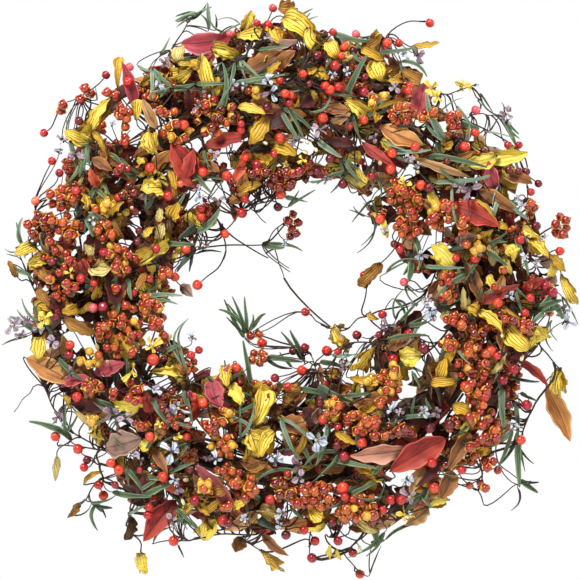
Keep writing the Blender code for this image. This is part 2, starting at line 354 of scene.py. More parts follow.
def leaf_mat(name, base, deep, light, back, vein=0.5):
    g = Graph(name)
    s = g.seeded()
    x, y, z = g.split(g.attr("tpl"))
    ax = g.math("ABSOLUTE", x)
    mottle = g.noise(s, 2.0, 6.0, 0.6)
    fibre = g.noise(g.join(g.math("MULTIPLY", x, 22.0), g.math("MULTIPLY", y, 6.0), g.attr("var")), 1.0, 3.0)
    c = g.mix(g.span(mottle, 0.34, 0.66), deep, base)
    c = g.mix(g.span(mottle, 0.60, 0.78, 0.0, 0.7), c, light)
    c = g.mix(g.span(fibre, 0.55, 0.75, 0.0, 0.3), c, deep)
    rib = g.span(ax, 0.085, 0.025)
    side = g.math("ABSOLUTE", g.math("SINE", g.math("MULTIPLY_ADD", y, 30.0, g.math("MULTIPLY", ax, -9.0))))
    side = g.math("MULTIPLY", g.span(side, 0.16, 0.04), g.span(ax, 1.0, 0.2), clamp=True)
    lines = g.math("MAXIMUM", rib, g.math("MULTIPLY", side, 0.55))
    c = g.mix(g.math("MULTIPLY", lines, vein), c, deep)
    c = g.mix(g.math("MULTIPLY", g.span(ax, 0.055, 0.02), g.span(y, 0.96, 0.80), clamp=True), c, tuple(v * 0.45 for v in deep))
    # Painted light: one side of the leaf is lightened, as if lit, broken up by the mottle.
    c = g.mix(g.span(g.math("MULTIPLY_ADD", mottle, 0.9, x), 0.0, 1.4, 0.0, 0.45), c, light)
    # Painted highlight: a pale band just inside the edge.
    c = g.mix(g.math("MULTIPLY", g.span(ax, 0.80, 0.90), g.span(ax, 0.99, 0.93)), c, light)
    c = g.mix(g.span(ax, 0.93, 1.0, 0.0, 0.6), c, deep)
    c = g.mix(g.span(z, 0.05, -0.1, 0.0, 0.7), c, back)
    c = g.tone(c, 0.82, 1.12)
    height = g.math("SUBTRACT", mottle, g.math("MULTIPLY", lines, 0.5))
    style(name, g.finish(c, g.span(mottle, 0.3, 0.7, 0.50, 0.70), height, 0.5, 0.0008, Specular_IOR_Level=0.35))


def blade_mat(name, base, deep, light, back):
    g = Graph(name)
    s = g.seeded()
    x, y, z = g.split(g.attr("tpl"))
    ax = g.math("ABSOLUTE", x)
    n = g.noise(s, 3.0, 4.0)
    fibre = g.noise(g.join(g.math("MULTIPLY", x, 6.0), g.math("MULTIPLY", y, 3.0), g.attr("var")), 1.0, 3.0)
    c = g.mix(g.span(n, 0.32, 0.68), deep, base)
    c = g.mix(g.span(fibre, 0.5, 0.72, 0.0, 0.55), c, light)
    c = g.mix(g.span(ax, 0.45, 0.80, 0.0, 0.65), c, light)
    # Painted shade: one half of the folded blade is darkened.
    c = g.mix(g.span(x, 0.1, 0.5, 0.0, 0.35), c, deep)
    c = g.mix(g.span(ax, 0.12, 0.03, 0.0, 0.75), c, deep)
    c = g.mix(g.span(y, 0.14, 0.0, 0.0, 0.7), c, (0.25, 0.22, 0.16))
    c = g.mix(g.span(z, 0.05, -0.1, 0.0, 0.8), c, back)
    c = g.tone(c, 0.82, 1.14)
    style(name, g.finish(c, g.span(n, 0.3, 0.7, 0.45, 0.62), fibre, 0.35, 0.0005, Specular_IOR_Level=0.4))


def petal_mat(name, base, deep, light):
    g = Graph(name)
    s = g.seeded()
    x, y, z = g.split(g.attr("tpl"))
    ax = g.math("ABSOLUTE", x)
    n = g.noise(s, 3.0, 3.0)
    c = g.mix(g.span(n, 0.35, 0.65), base, light)
    c = g.mix(g.span(y, 0.35, 0.0, 0.0, 0.8), c, deep)
    c = g.mix(g.span(ax, 0.20, 0.05, 0.0, 0.75), c, deep)
    c = g.mix(g.span(g.math("ABSOLUTE", g.math("SINE", g.math("MULTIPLY", x, 7.0))), 0.35, 0.10, 0.0, 0.35), c, deep)
    c = g.mix(g.span(ax, 0.85, 1.0, 0.0, 0.4), c, deep)
    c = g.tone(c, 0.88, 1.08)
    style(name, g.finish(c, 0.55, n, 0.3, 0.0004, Specular_IOR_Level=0.4))


def bark_mat(name, base, deep, light, scale=1.0, rough=0.75):
    g = Graph(name)
    s = g.seeded()
    x, y, z = g.split(g.attr("tpl"))
    v = g.attr("var")
    along = g.join(g.math("MULTIPLY", x, 2.0), g.math("MULTIPLY", y, 2.0), g.math("MULTIPLY_ADD", z, 3.0 * scale, v))
    n = g.noise(along, 2.0, 6.0, 0.65)
    rings = g.noise(g.join(g.math("MULTIPLY", v, 5.0), 0.0, g.math("MULTIPLY", z, 12.0 * scale)), 1.0, 2.0)
    c = g.mix(g.span(n, 0.36, 0.62), deep, base)
    c = g.mix(g.span(n, 0.58, 0.76, 0.0, 0.8), c, light)
    c = g.mix(g.span(rings, 0.60, 0.68, 0.0, 0.5), c, deep)
    c = g.tone(c, 0.8, 1.15)
    style(name, g.finish(c, g.span(n, 0.3, 0.7, rough - 0.1, rough + 0.1), n, 0.8, 0.0012, Specular_IOR_Level=0.35))


def wire_mat(name, base, deep, rough):
    g = Graph(name)
    s = g.seeded()
    n = g.noise(s, 6.0, 4.0)
    c = g.mix(g.span(n, 0.35, 0.7), base, deep)
    style(name, g.finish(c, g.span(n, 0.3, 0.7, rough, rough + 0.2), n, 0.15, 0.0002, Metallic=0.9))


berry_mat("berry_orange", (0.86, 0.22, 0.12), (0.72, 0.10, 0.06), (0.97, 0.40, 0.25))
berry_mat("berry_red", (0.77, 0.10, 0.10), (0.56, 0.035, 0.05), (0.93, 0.28, 0.22))
berry_mat("berry_crimson", (0.62, 0.05, 0.12), (0.38, 0.015, 0.06), (0.84, 0.20, 0.26))
berry_mat("berry_dark", (0.40, 0.04, 0.07), (0.20, 0.01, 0.03), (0.60, 0.14, 0.17))
berry_mat("berry_pink", (0.86, 0.33, 0.36), (0.74, 0.16, 0.20), (0.95, 0.52, 0.52))
berry_mat("berry_salmon", (0.92, 0.42, 0.28), (0.82, 0.25, 0.14), (0.98, 0.60, 0.45))
berry_mat("seed_red", (0.60, 0.07, 0.05), (0.30, 0.015, 0.02), (0.84, 0.26, 0.13), 0.17, 0.0, 0.8)
berry_mat("seed_orange", (0.69, 0.16, 0.05), (0.40, 0.045, 0.025), (0.93, 0.46, 0.14), 0.17, 0.0, 0.8)
berry_mat("seed_yellow", (0.88, 0.64, 0.12), (0.72, 0.38, 0.05), (0.99, 0.86, 0.34), 0.20, 0.0, 0.7)
berry_mat("seed_dark", (0.38, 0.04, 0.04), (0.17, 0.01, 0.015), (0.62, 0.15, 0.09), 0.17, 0.0, 0.8)
berry_mat("seed_crimson", (0.56, 0.05, 0.08), (0.30, 0.015, 0.04), (0.80, 0.20, 0.18), 0.17, 0.0, 0.8)
valve_mat("valve_orange", (0.88, 0.56, 0.14), (0.62, 0.25, 0.05), (0.97, 0.80, 0.33))
valve_mat("valve_yellow", (0.93, 0.74, 0.20), (0.74, 0.46, 0.08), (0.99, 0.90, 0.42))
valve_mat("valve_red", (0.76, 0.32, 0.09), (0.42, 0.09, 0.03), (0.92, 0.62, 0.20))
husk_mat("husk_y", (0.93, 0.78, 0.21), (0.26, 0.14, 0.04), (0.99, 0.90, 0.44), (0.80, 0.60, 0.15), 0.95)
husk_mat("husk_p", (0.96, 0.84, 0.24), (0.62, 0.46, 0.10), (0.99, 0.93, 0.50), (0.88, 0.73, 0.21), 0.40)
husk_mat("husk_g", (0.84, 0.65, 0.15), (0.26, 0.14, 0.04), (0.91, 0.74, 0.26), (0.54, 0.35, 0.10), 0.9)
husk_mat("husk_b", (0.62, 0.42, 0.15), (0.20, 0.10, 0.05), (0.76, 0.54, 0.22), (0.42, 0.26, 0.12), 0.9)
husk_mat("husk_c", (0.84, 0.74, 0.42), (0.30, 0.19, 0.09), (0.94, 0.86, 0.56), (0.62, 0.50, 0.26), 0.85)
husk_mat("husk_d", (0.26, 0.15, 0.09), (0.10, 0.05, 0.04), (0.46, 0.32, 0.14), (0.20, 0.11, 0.07), 0.8)
leaf_mat("leaf_R", (0.68, 0.20, 0.16), (0.42, 0.09, 0.08), (0.82, 0.36, 0.28), (0.52, 0.14, 0.12))
leaf_mat("leaf_O", (0.79, 0.31, 0.20), (0.56, 0.16, 0.11), (0.90, 0.47, 0.32), (0.62, 0.24, 0.16))
leaf_mat("leaf_P", (0.74, 0.30, 0.34), (0.54, 0.14, 0.19), (0.86, 0.46, 0.48), (0.60, 0.30, 0.32))
leaf_mat("leaf_M", (0.30, 0.07, 0.06), (0.12, 0.02, 0.02), (0.46, 0.15, 0.11), (0.20, 0.06, 0.05))
leaf_mat("leaf_B", (0.60, 0.37, 0.19), (0.32, 0.17, 0.09), (0.78, 0.54, 0.30), (0.46, 0.30, 0.18))
leaf_mat("leaf_T", (0.78, 0.58, 0.36), (0.52, 0.34, 0.20), (0.90, 0.74, 0.52), (0.62, 0.46, 0.32))
leaf_mat("leaf_U", (0.62, 0.48, 0.42), (0.40, 0.27, 0.24), (0.78, 0.66, 0.58), (0.52, 0.40, 0.35))
leaf_mat("leaf_K", (0.82, 0.56, 0.30), (0.60, 0.34, 0.15), (0.94, 0.72, 0.44), (0.68, 0.46, 0.28))
leaf_mat("leaf_Q", (0.58, 0.24, 0.25), (0.36, 0.11, 0.13), (0.72, 0.38, 0.38), (0.44, 0.20, 0.20))
leaf_mat("leaf_S", (0.80, 0.56, 0.46), (0.60, 0.36, 0.30), (0.90, 0.70, 0.60), (0.64, 0.44, 0.38))
blade_mat("blade_g", (0.36, 0.45, 0.31), (0.17, 0.24, 0.15), (0.56, 0.65, 0.49), (0.50, 0.59, 0.45))
blade_mat("blade_w", (0.50, 0.59, 0.47), (0.28, 0.38, 0.28), (0.68, 0.76, 0.64), (0.60, 0.68, 0.56))
blade_mat("blade_k", (0.20, 0.27, 0.20), (0.09, 0.13, 0.10), (0.36, 0.43, 0.34), (0.30, 0.36, 0.29))
petal_mat("petal_w", (0.71, 0.75, 0.82), (0.32, 0.34, 0.43), (0.90, 0.92, 0.96))
petal_mat("petal_l", (0.64, 0.55, 0.61), (0.30, 0.21, 0.28), (0.80, 0.73, 0.79))
petal_mat("petal_m", (0.48, 0.36, 0.41), (0.22, 0.14, 0.18), (0.66, 0.56, 0.61))
petal_mat("petal_y", (0.93, 0.80, 0.22), (0.74, 0.52, 0.10), (0.99, 0.92, 0.48))
petal_mat("bud_cream", (0.90, 0.86, 0.66), (0.66, 0.56, 0.32), (0.97, 0.95, 0.82))
bark_mat("twig", (0.33, 0.22, 0.19), (0.13, 0.08, 0.07), (0.54, 0.41, 0.36))
bark_mat("twig_grey", (0.36, 0.31, 0.27), (0.18, 0.15, 0.12), (0.54, 0.48, 0.41))
bark_mat("vine", (0.46, 0.33, 0.23), (0.20, 0.13, 0.085), (0.66, 0.52, 0.39), 1.0, 0.85)
wire_mat("wire", (0.42, 0.36, 0.28), (0.20, 0.17, 0.14), 0.32)

# ----------------------------------------------------------------- stem curves
TIES = 10
LANES = ((0.20, 0.084), (1.05, 0.066), (1.90, 0.062), (2.92, 0.062))
KINDS = ("bittersweet_spray", "berry_spray", "leaf_spray", "greenery_spray")


def on_ring(theta, radius, turn):
    theta, radius, turn = np.broadcast_arrays(np.asarray(theta, float), np.asarray(radius, float), np.asarray(turn, float))
    rho = RING + radius * np.cos(turn)
    return CENTRE + np.stack([np.cos(theta) * rho, -radius * np.sin(turn), np.sin(theta) * rho], axis=-1)


SPRAYS = []          # (node, kind, points, tangents)
for k in range(TIES):
    tie = math.pi / 2 + math.radians(18 - 36 * k)
    for lane, (turn, spread) in enumerate(LANES):
        s = np.linspace(0, 1, 25)
        theta = tie + math.radians(4.5) - math.radians(42.5) * s
        ease = np.clip((s - 0.16) / 0.84, 0, None) ** 1.25
        radius = 0.0153 + (spread * 0.92 - 0.0153) * ease
        pts = on_ring(theta, radius, turn + 0.10 * np.sin(3 * s))
        kind = KINDS[(lane + k) % 4]
        SPRAYS.append((f"{kind}_{k + 1:02d}", kind, pts, unit(np.gradient(pts, axis=0))))
STEM_P = np.stack([s[2] for s in SPRAYS])[:, 3:]
STEM_T = np.stack([s[3] for s in SPRAYS])[:, 3:]
STEM_KIND = np.array([KINDS.index(s[1]) for s in SPRAYS])
bunches = [Bunch() for _ in SPRAYS]


HOLD_P = STEM_P.reshape(-1, 3)
HOLD_T = STEM_T.reshape(-1, 3)
HOLD_I = np.repeat(np.arange(len(SPRAYS)), STEM_P.shape[1])
HOLD_KIND = STEM_KIND[HOLD_I]


def attach(point, kind):
    """(spray, place, direction) that a twig to this point leaves from."""
    gap = point - HOLD_P
    dist = np.linalg.norm(gap, axis=-1)
    ahead = np.einsum("jk,jk->j", gap, HOLD_T)
    other = (HOLD_KIND != KINDS.index(kind)) & (HOLD_KIND >= 0)
    cost = dist + 0.8 * np.clip(0.35 * dist - ahead, 0, None) + np.where(other, 0.016, 0) + np.where(dist < 0.008, 0.03, 0)
    j = int(np.argmin(cost))
    return int(HOLD_I[j]), HOLD_P[j], HOLD_T[j]


def holds(i, path):
    """Lets later things grow from this twig."""
    global HOLD_P, HOLD_T, HOLD_I, HOLD_KIND
    HOLD_P = np.concatenate([HOLD_P, path])
    HOLD_T = np.concatenate([HOLD_T, unit(np.gradient(path, axis=0))])
    HOLD_I = np.concatenate([HOLD_I, np.full(len(path), i)])
    HOLD_KIND = np.concatenate([HOLD_KIND, np.full(len(path), -1)])


# -------------------------------------------------------------------- shapes
def tubes(paths, radii, sides):
    """(N, R, C, 3) rings along (N, R, 3) paths."""
    along = unit(np.gradient(paths, axis=1))
    hint = np.array([0.37, -0.62, 0.69])
    side = unit(np.cross(hint, along))
    normal = np.cross(along, side)
    a = 2 * np.pi * np.arange(sides) / sides
    radii = np.broadcast_to(radii, paths.shape[:2])[..., None, None]
    return paths[:, :, None] + radii * (side[:, :, None] * np.cos(a)[:, None] + normal[:, :, None] * np.sin(a)[:, None])


def tube_tpl(paths, sides, radius):
    length = np.concatenate([[0], np.cumsum(np.linalg.norm(np.diff(paths[0], axis=0), axis=-1))]) / 0.01
    a = 2 * np.pi * np.arange(sides) / sides
    R = len(length)
    return np.stack(np.broadcast_arrays(np.cos(a)[None], np.sin(a)[None], length[:, None]), -1).reshape(R, sides, 3)


def add_tubes(bunch, paths, radii, look="twig", sides=5):
    P = tubes(paths, radii, sides)
    tpl = tube_tpl(paths, sides, radii)
    bunch.add(P, tpl, look, (paths[:, 0], paths[:, -1]), ((0, 0, tpl[0, 0, 2]), (0, 0, tpl[-1, 0, 2])))


def curve(p0, t0, p3, t3, n=8, pull=0.38):
    p0, t0, p3, t3 = (np.asarray(v, float) for v in (p0, t0, p3, t3))
    reach = np.linalg.norm(p3 - p0)
    p1, p2 = p0 + t0 * reach * pull, p3 - t3 * reach * pull
    u = np.linspace(0, 1, n)[:, None]
    return p0 * (1 - u) ** 3 + p1 * 3 * u * (1 - u) ** 2 + p2 * 3 * u * u * (1 - u) + p3 * u ** 3


def kinked(path, amount):
    """A twig's own slow wander, none at its ends."""
    u = np.linspace(0, 1, len(path))[:, None]
    move = 0
    for k in (1, 2, 3):
        move = move + np.sin(k * math.pi * u) * rng.normal(size=3) * np.array([1, 0.7, 1]) / k
    return path + move * amount


def turn_to(axis, spin):
    """(N, 3, 3) matrices whose third column is the axis."""
    axis = unit(np.asarray(axis, float))
    spin = np.asarray(spin, float)
    helper = np.where(np.abs(axis[:, :1]) > 0.8, np.array([[0.0, 1, 0]]), np.array([[1.0, 0, 0]]))
    a = unit(np.cross(helper, axis))
    b = np.cross(axis, a)
    c, s = np.cos(spin)[:, None], np.sin(spin)[:, None]
    return np.stack([a * c + b * s, -a * s + b * c, axis], axis=-1)


def ball(rows, cols):
    lat = np.pi * (np.arange(rows) + 1) / (rows + 1)
    a = 2 * np.pi * np.arange(cols) / cols
    z = -np.cos(lat)
    r = np.sin(lat)
    P = np.stack(np.broadcast_arrays(r[:, None] * np.cos(a), r[:, None] * np.sin(a), z[:, None]), -1)
    return P


BALL_FINE = ball(11, 16)
BALL = ball(7, 10)


def add_balls(bunch, centres, radius, axes, look, fine=True, squash=(1, 1, 1), lumpy=0.02):
    """Berries. The axis points from the stalk to the far end."""
    centres = np.atleast_2d(centres)
    N = len(centres)
    radius = np.broadcast_to(radius, (N,))
    M = turn_to(np.broadcast_to(axes, (N, 3)), rng.uniform(0, 6.28, N))
    T = (BALL_FINE if fine else BALL).copy()
    wob = 1 + lumpy * rng.normal(size=(N, 1, 1, 3))
    z = T[..., 2]
    dimple = 1 - 0.10 * np.clip((np.abs(z) - 0.86) / 0.14, 0, 1) ** 1.5
    local = T * np.array(squash) * wob
    local = local * np.stack([np.ones_like(z), np.ones_like(z), dimple], -1)
    P = centres[:, None, None] + np.einsum("nij,nrcj->nrci", M, local) * radius[:, None, None, None]
    e0 = centres - M[:, :, 2] * (radius * squash[2] * 0.90)[:, None]
    e1 = centres + M[:, :, 2] * (radius * squash[2] * 0.90)[:, None]
    bunch.add(P, T, look, (e0, e1), ((0, 0, -1), (0, 0, 1)))


PROFILES = {
    "leaf": lambda t: np.sin(np.pi * t ** 0.85) ** 0.9,
    "lance": lambda t: np.sin(np.pi * t ** 0.75) ** 0.75,
    "husk": lambda t: np.clip(np.sin(np.pi * np.clip(t, 0, 1) ** 0.8), 0, 1) ** 0.62,
    "fan": lambda t: np.clip(0.22 + 0.85 * t ** 0.9, 0, 1) * np.clip((1.02 - t) * 7.0, 0, 1) ** 0.5,
    "blade": lambda t: np.clip(np.minimum(t * 9, 1), 0, 1) ** 0.5 * (1 - 0.75 * t ** 2.5),
    "petal": lambda t: np.sin(np.pi * t ** 1.25) ** 0.8,
}


def add_leaf(bunch, base, tip, width, look, profile="leaf", rows=12, cols=12, bow=0.10, bend=0.0, cup=0.35,
             twist=0.0, ripple=0.06, tilt=0.0, crumple=0.0, thick=0.0004, hook=0.0, curl=0.0, face=None, ragged=0.07):
    """A thin leaf from base to tip. Its face looks towards -Y, turned about its
    own length by tilt. bow lifts its middle, bend swings it sideways, cup folds
    it along its midrib, curl turns the tip back and hook turns it sideways."""
    base, tip = np.asarray(base, float), np.asarray(tip, float)
    L = np.linalg.norm(tip - base)
    along = (tip - base) / L
    hint = np.array([0.0, -1.0, 0.0]) if face is None else face
    side = unit(np.cross(hint, along)) if abs(along @ hint) < 0.97 else unit(np.cross([0.3, 0.2, 0.9], along))
    face = np.cross(along, side)
    t = (np.arange(rows) + 0.35) / (rows - 0.3)
    arc = 4 * t * (1 - t)
    mid = base + along * (t * L)[:, None] + face * (bow * L * arc)[:, None] + side * (bend * L * arc)[:, None]
    h = np.clip((t - 0.55) / 0.45, 0, 1) ** 2
    mid = mid - face * (curl * L * h)[:, None] + side * (hook * L * h)[:, None] - along * ((abs(hook) + abs(curl)) * 0.35 * L * h)[:, None]
    tan = unit(np.gradient(mid, axis=0))
    angle = tilt + twist * (t - 0.4)
    s0 = unit(side - tan * (tan @ side)[:, None])
    n0 = np.cross(tan, s0)
    s1 = s0 * np.cos(angle)[:, None] + n0 * np.sin(angle)[:, None]
    n1 = np.cross(tan, s1)
    a = 2 * np.pi * np.arange(cols) / cols
    x, zz = np.cos(a), np.sin(a)
    half = width / 2 * np.maximum(PROFILES[profile](t), 0.06)
    ph = rng.uniform(0, 6.28, 4)
    wave = ripple * half[:, None] * (x[None] ** 2) * (np.sin(t * 17 + ph[0])[:, None] + 0.6 * np.sin(t * 29 + ph[1])[:, None] * np.sign(x))
    folds = crumple * half[:, None] * (np.sin(x * 5.2 + ph[2] + 2.2 * np.sin(t * 4 + ph[3])[:, None]) + 0.7 * np.sin(x * 9.1 + ph[1] + t[:, None] * 3))
    lift = cup * half[:, None] * (np.abs(x[None]) ** 1.5) + wave + folds + thick * zz[None]
    jag = 1 + np.abs(x) * (0.7 * ripple * np.sin(t * 23 + ph[2])[:, None] + ragged * (np.sin(t * 9 + ph[0])[:, None] * np.sign(x) + 0.7 * np.sin(t * 14 + ph[3])[:, None]))
    P = mid[:, None] + s1[:, None] * (half[:, None] * x * jag)[..., None] + n1[:, None] * lift[..., None]
    tpl = np.stack(np.broadcast_arrays(x[None], t[:, None], zz[None]), -1)
    e0 = mid[0] - tan[0] * (0.35 / rows * L)
    e1 = mid[-1] + tan[-1] * (0.35 / rows * L)
    bunch.add(P[None], tpl, look, (e0[None], e1[None]), ((0, 0, 0), (0, 1, 0)))


def branch(point, kind, thick=0.00066, look="twig", heading=None, stop=0.0, wander=0.0010):
    """The twig that carries something at this point. Returns its spray and the
    direction in which it arrives."""
    point = np.asarray(point, float)
    i, p, t = attach(point, kind)
    gap = point - p
    reach = np.linalg.norm(gap)
    gap = gap / max(reach, 1e-9)
    if heading is None:
        heading = unit(gap * 0.8 + t * 0.35 + np.array([0, -0.25, 0]) + rng.normal(size=3) * 0.18)
    end = point - heading * stop
    path = kinked(curve(p, unit(t + 0.4 * gap), end, heading, 9), wander)
    path[0], path[-1] = p, end
    add_tubes(bunches[i], path[None], np.linspace(thick * 1.5, thick, 9), look)
    return i, heading


# ------------------------------------------- where each thing is, read one by one
# In layout units: 580 across, x right, y down.
# berries: x, y, radius, colour
BERRIES = """
44,133,4.3,r  106,75,4.3,c  128,82,5.2,r  129.5,67,4.3,p  79,121,4.5,d  52,161,4.2,r  59.5,173,4.3,c  35.5,201,4.6,s
273,8,4.3,p  230,34,4,p  257,23,4,r  268,25,5,r  356,34,4.3,p  387,43,5.2,o  399,43,4.4,o  430,23,4.6,o
335,66,5.3,r  344,47,4,o  341,56,4.3,o  303,74,4.3,o  309,84,3.8,d  325,86,4.6,o  330,90,4.8,o  338,87,4.5,r
364,92,4.8,c  323,118,5.3,o  349,126,4.5,r  364,120,4.5,o  317,56,5,d  333,32,4,r  365,77,4,d  356,68,3.5,d
291,95,4.3,o  289,103,4.3,r  280,81,4,r  285,94,4.5,o  267,107,4.5,d  280,138,5.3,o  241,130,4.3,r  241,124,3.8,r
184,125,5,o  150,168,5.3,o  168,196,5,r  203,172,4.6,o  227,176,5.3,o  246,158,4,o  257,165,5,c  274,154,4,r
281,194,5.3,o  278,207,4.5,d  242,213,5.3,r  245,199,4,r  225,234,4.6,o  186,249,5,o  201,217,4.6,o  201,209,4,r
156,249,4.5,r  175,277,4.6,o  197.5,285,5.3,o  180,184,3.5,s  330,159,4.8,d  317,171,4,d  343,184,5,d  410,86,4.3,o
408,91,4.3,o  415,147,4.6,o  392,153,5,o  391,169,5.5,o  372,176,4.5,c  421,185,5,o  429,188,5,d  380,219,5,o
400,249,4.3,r  394,244,3.8,d  364,275,4.2,r  404,282,4.5,p  476,110,4.7,p  475,132,4.8,o  465,147,5.5,o  508,145,4,r
519,145,4,r  484,151,4,d  447,161,4,d  509,170,4.3,d  519,171,3.8,d  526.5,171.5,4,d  538.5,183.5,4,d  531,192,4,r
560,251,4.6,r  536,226,5,d  520,240,4.8,r  475,259,5,r  456,258,4.5,r  546,286,5.5,c  552,292,5.5,c  547,298,5,c
530,298,4.8,r  525,313,4.3,r  498,303,5.3,o  491,351,5.3,o  497,356,4,r  514,369,5,c  503,380,4.8,c  465,386,5,o
484,397,5.3,r  527,405,5.3,c  509,405,4,d  521,440,5,o  498,470,4.5,r  450,425,5.3,d  430,428,5,d  462,470,4.5,r
432,463,5,r  434,488,5.3,o  391,500,5,r  401,500,5,r  383,510,4.3,r  375,515,4.5,d  344,456.5,5.3,c  362,443,5.3,o
337,446,4.8,d  343,488,6,o  345,497,4.5,r  345,520,4.8,r  332,523,4.3,d  304,530,4.8,r  315,541,4.8,r  312,558,5,c
338,541,4.8,c  353,553,4.5,r  360,574,4.8,o  305.5,312,4.5,r  382.5,314.5,4.6,r  357,335,4.8,c  379,335,4,c
305,347.5,4.6,c  293,351,4.5,d  327,351,5.5,o  338,352,4,r  302,370.5,5.3,o  288,387,5,o  424,349,5.5,d  393,359,5,r
320,403,4.3,d  323,420,5.3,o  342,406,5,d  338,427,4.3,r  363,433,4.3,r  405,432,4.5,d  271,397,5.3,c  275,378,4.5,c
262,343,5.5,o  236,368,5.3,o  203,403,5.3,o  193,397,4.5,o  189,394,3.5,d  153,360,5.8,o  191,355,4.3,r  199,350,4,r
103,307,5.3,c  93,308,4.8,p  70,345,4.8,o  69,355,5,c  77,397,5,r  104,253,5,c  56,317,4.5,d  81,279,4.8,r
94,283,4,r  75,288,4.5,r  52,262,4.8,d  139,400,4.5,r  139,231,3.8,d  137,242,4,d  135,212,4,d  55.5,436.5,5,o
78,449,5.3,o  87,460,4.3,d  84,467.5,4.5,r  98.5,485,4.8,r  103.5,495.5,5,o  111,463,4.8,o  119,470,5.3,o
115,485,4,c  140,470,3.5,c  148,515,4.8,r  149,507,4.5,r  150,437,5.3,o  163,477,5.3,o  187,437,4,r  190,470,4,d
195,501,5.3,c  173.5,541,5.3,o  223,521,5.3,r  229,523,4.5,d  270,500,5.3,r  286,535,4.8,d  267,172,4.5,d
287,171,4.5,d  290,185,5.5,d  299,171,3.8,c  76,191,4.5,r  58,193,4.8,r
"""
# capsule clusters: x, y, half width, half height, count, mixture
CLUSTERS = """
236,484,8,5,5,oy  251,490,6,5,4,oy  205,486,7,6,4,y  372,421,6,9,6,r  378,402,5,5,3,o  226,505,7,4,3,ro
86,96,7,9,3,r  62,108,4,5,2,o  111,94,6,3,2,r  124,115,9,13,7,r  125,140,6,4,2,rc  169,112,11,5,3,o
176,131,14,12,7,m  212,115,24,20,18,od  253,93,6,6,3,y  151,94,4,4,1,o  62,198,18,12,10,r  42,227,15,14,10,rd
66,227,16,14,10,ro  50,252,8,12,4,r  66,262,9,10,4,r  62,285,16,14,8,r  104,207,10,7,4,oy  104,231,10,9,6,ro
119,255,18,12,10,m  122,270,8,6,3,o  129,193,8,8,4,dg  122,172,10,6,3,c  120,335,24,22,22,ro  135,322,5,5,1,y
90,358,12,8,5,y  146,304,10,8,5,o  130,307,6,6,2,rc  158,320,8,14,6,r  165,341,6,8,2,r  136,392,10,14,7,rx
93,388,10,8,5,o  114,395,5,5,2,o  90,419,7,6,3,g  140,425,8,5,3,ro  173,405,16,18,8,d  177,425,14,10,5,c
223,417,13,8,5,oy  210,428,8,8,4,d  223,445,16,12,8,oy  228,471,14,8,6,m  247,487,12,12,6,ro  255,334,7,4,2,o
258,356,8,10,5,o  287,488,14,16,14,dy  315,495,26,14,22,co  362,508,16,14,14,m  343,514,6,6,3,o  332,408,8,12,7,oy
360,422,16,10,9,ro  385,383,20,12,14,oy  393,370,5,7,3,y  400,430,14,8,6,d  379,435,8,6,4,og  406,201,16,13,10,ro
408,227,16,12,9,ro  397,188,8,10,5,o  402,117,14,12,11,ro  429,118,8,8,4,o  455,120,7,9,5,od  440,213,13,17,16,m
464,226,5,8,4,r  473,247,9,6,4,yo  448,281,12,8,6,r  448,295,10,7,5,ro  457,320,12,7,5,r  450,343,10,7,5,o
474,335,16,10,6,d  472,362,18,18,14,rp  476,392,14,12,8,ro  478,415,16,12,12,ro  490,426,10,8,5,r  524,328,8,7,5,r
505,318,10,8,5,d  533,207,6,6,3,o  560,227,9,14,6,r  489,438,9,5,4,c  474,450,6,8,3,o  483,463,12,6,4,r
478,486,11,4,3,ro  292,224,8,14,6,rd  281,181,12,9,7,d  259,174,9,6,4,d  296,173,5,5,2,c  163,272,7,6,3,r
148,281,4,4,1,r  120,290,6,5,2,oy  372,103,4,6,3,oy  383,98,4,4,1,y  503,270,4,4,1,o  494,286,4,4,1,ry
"""
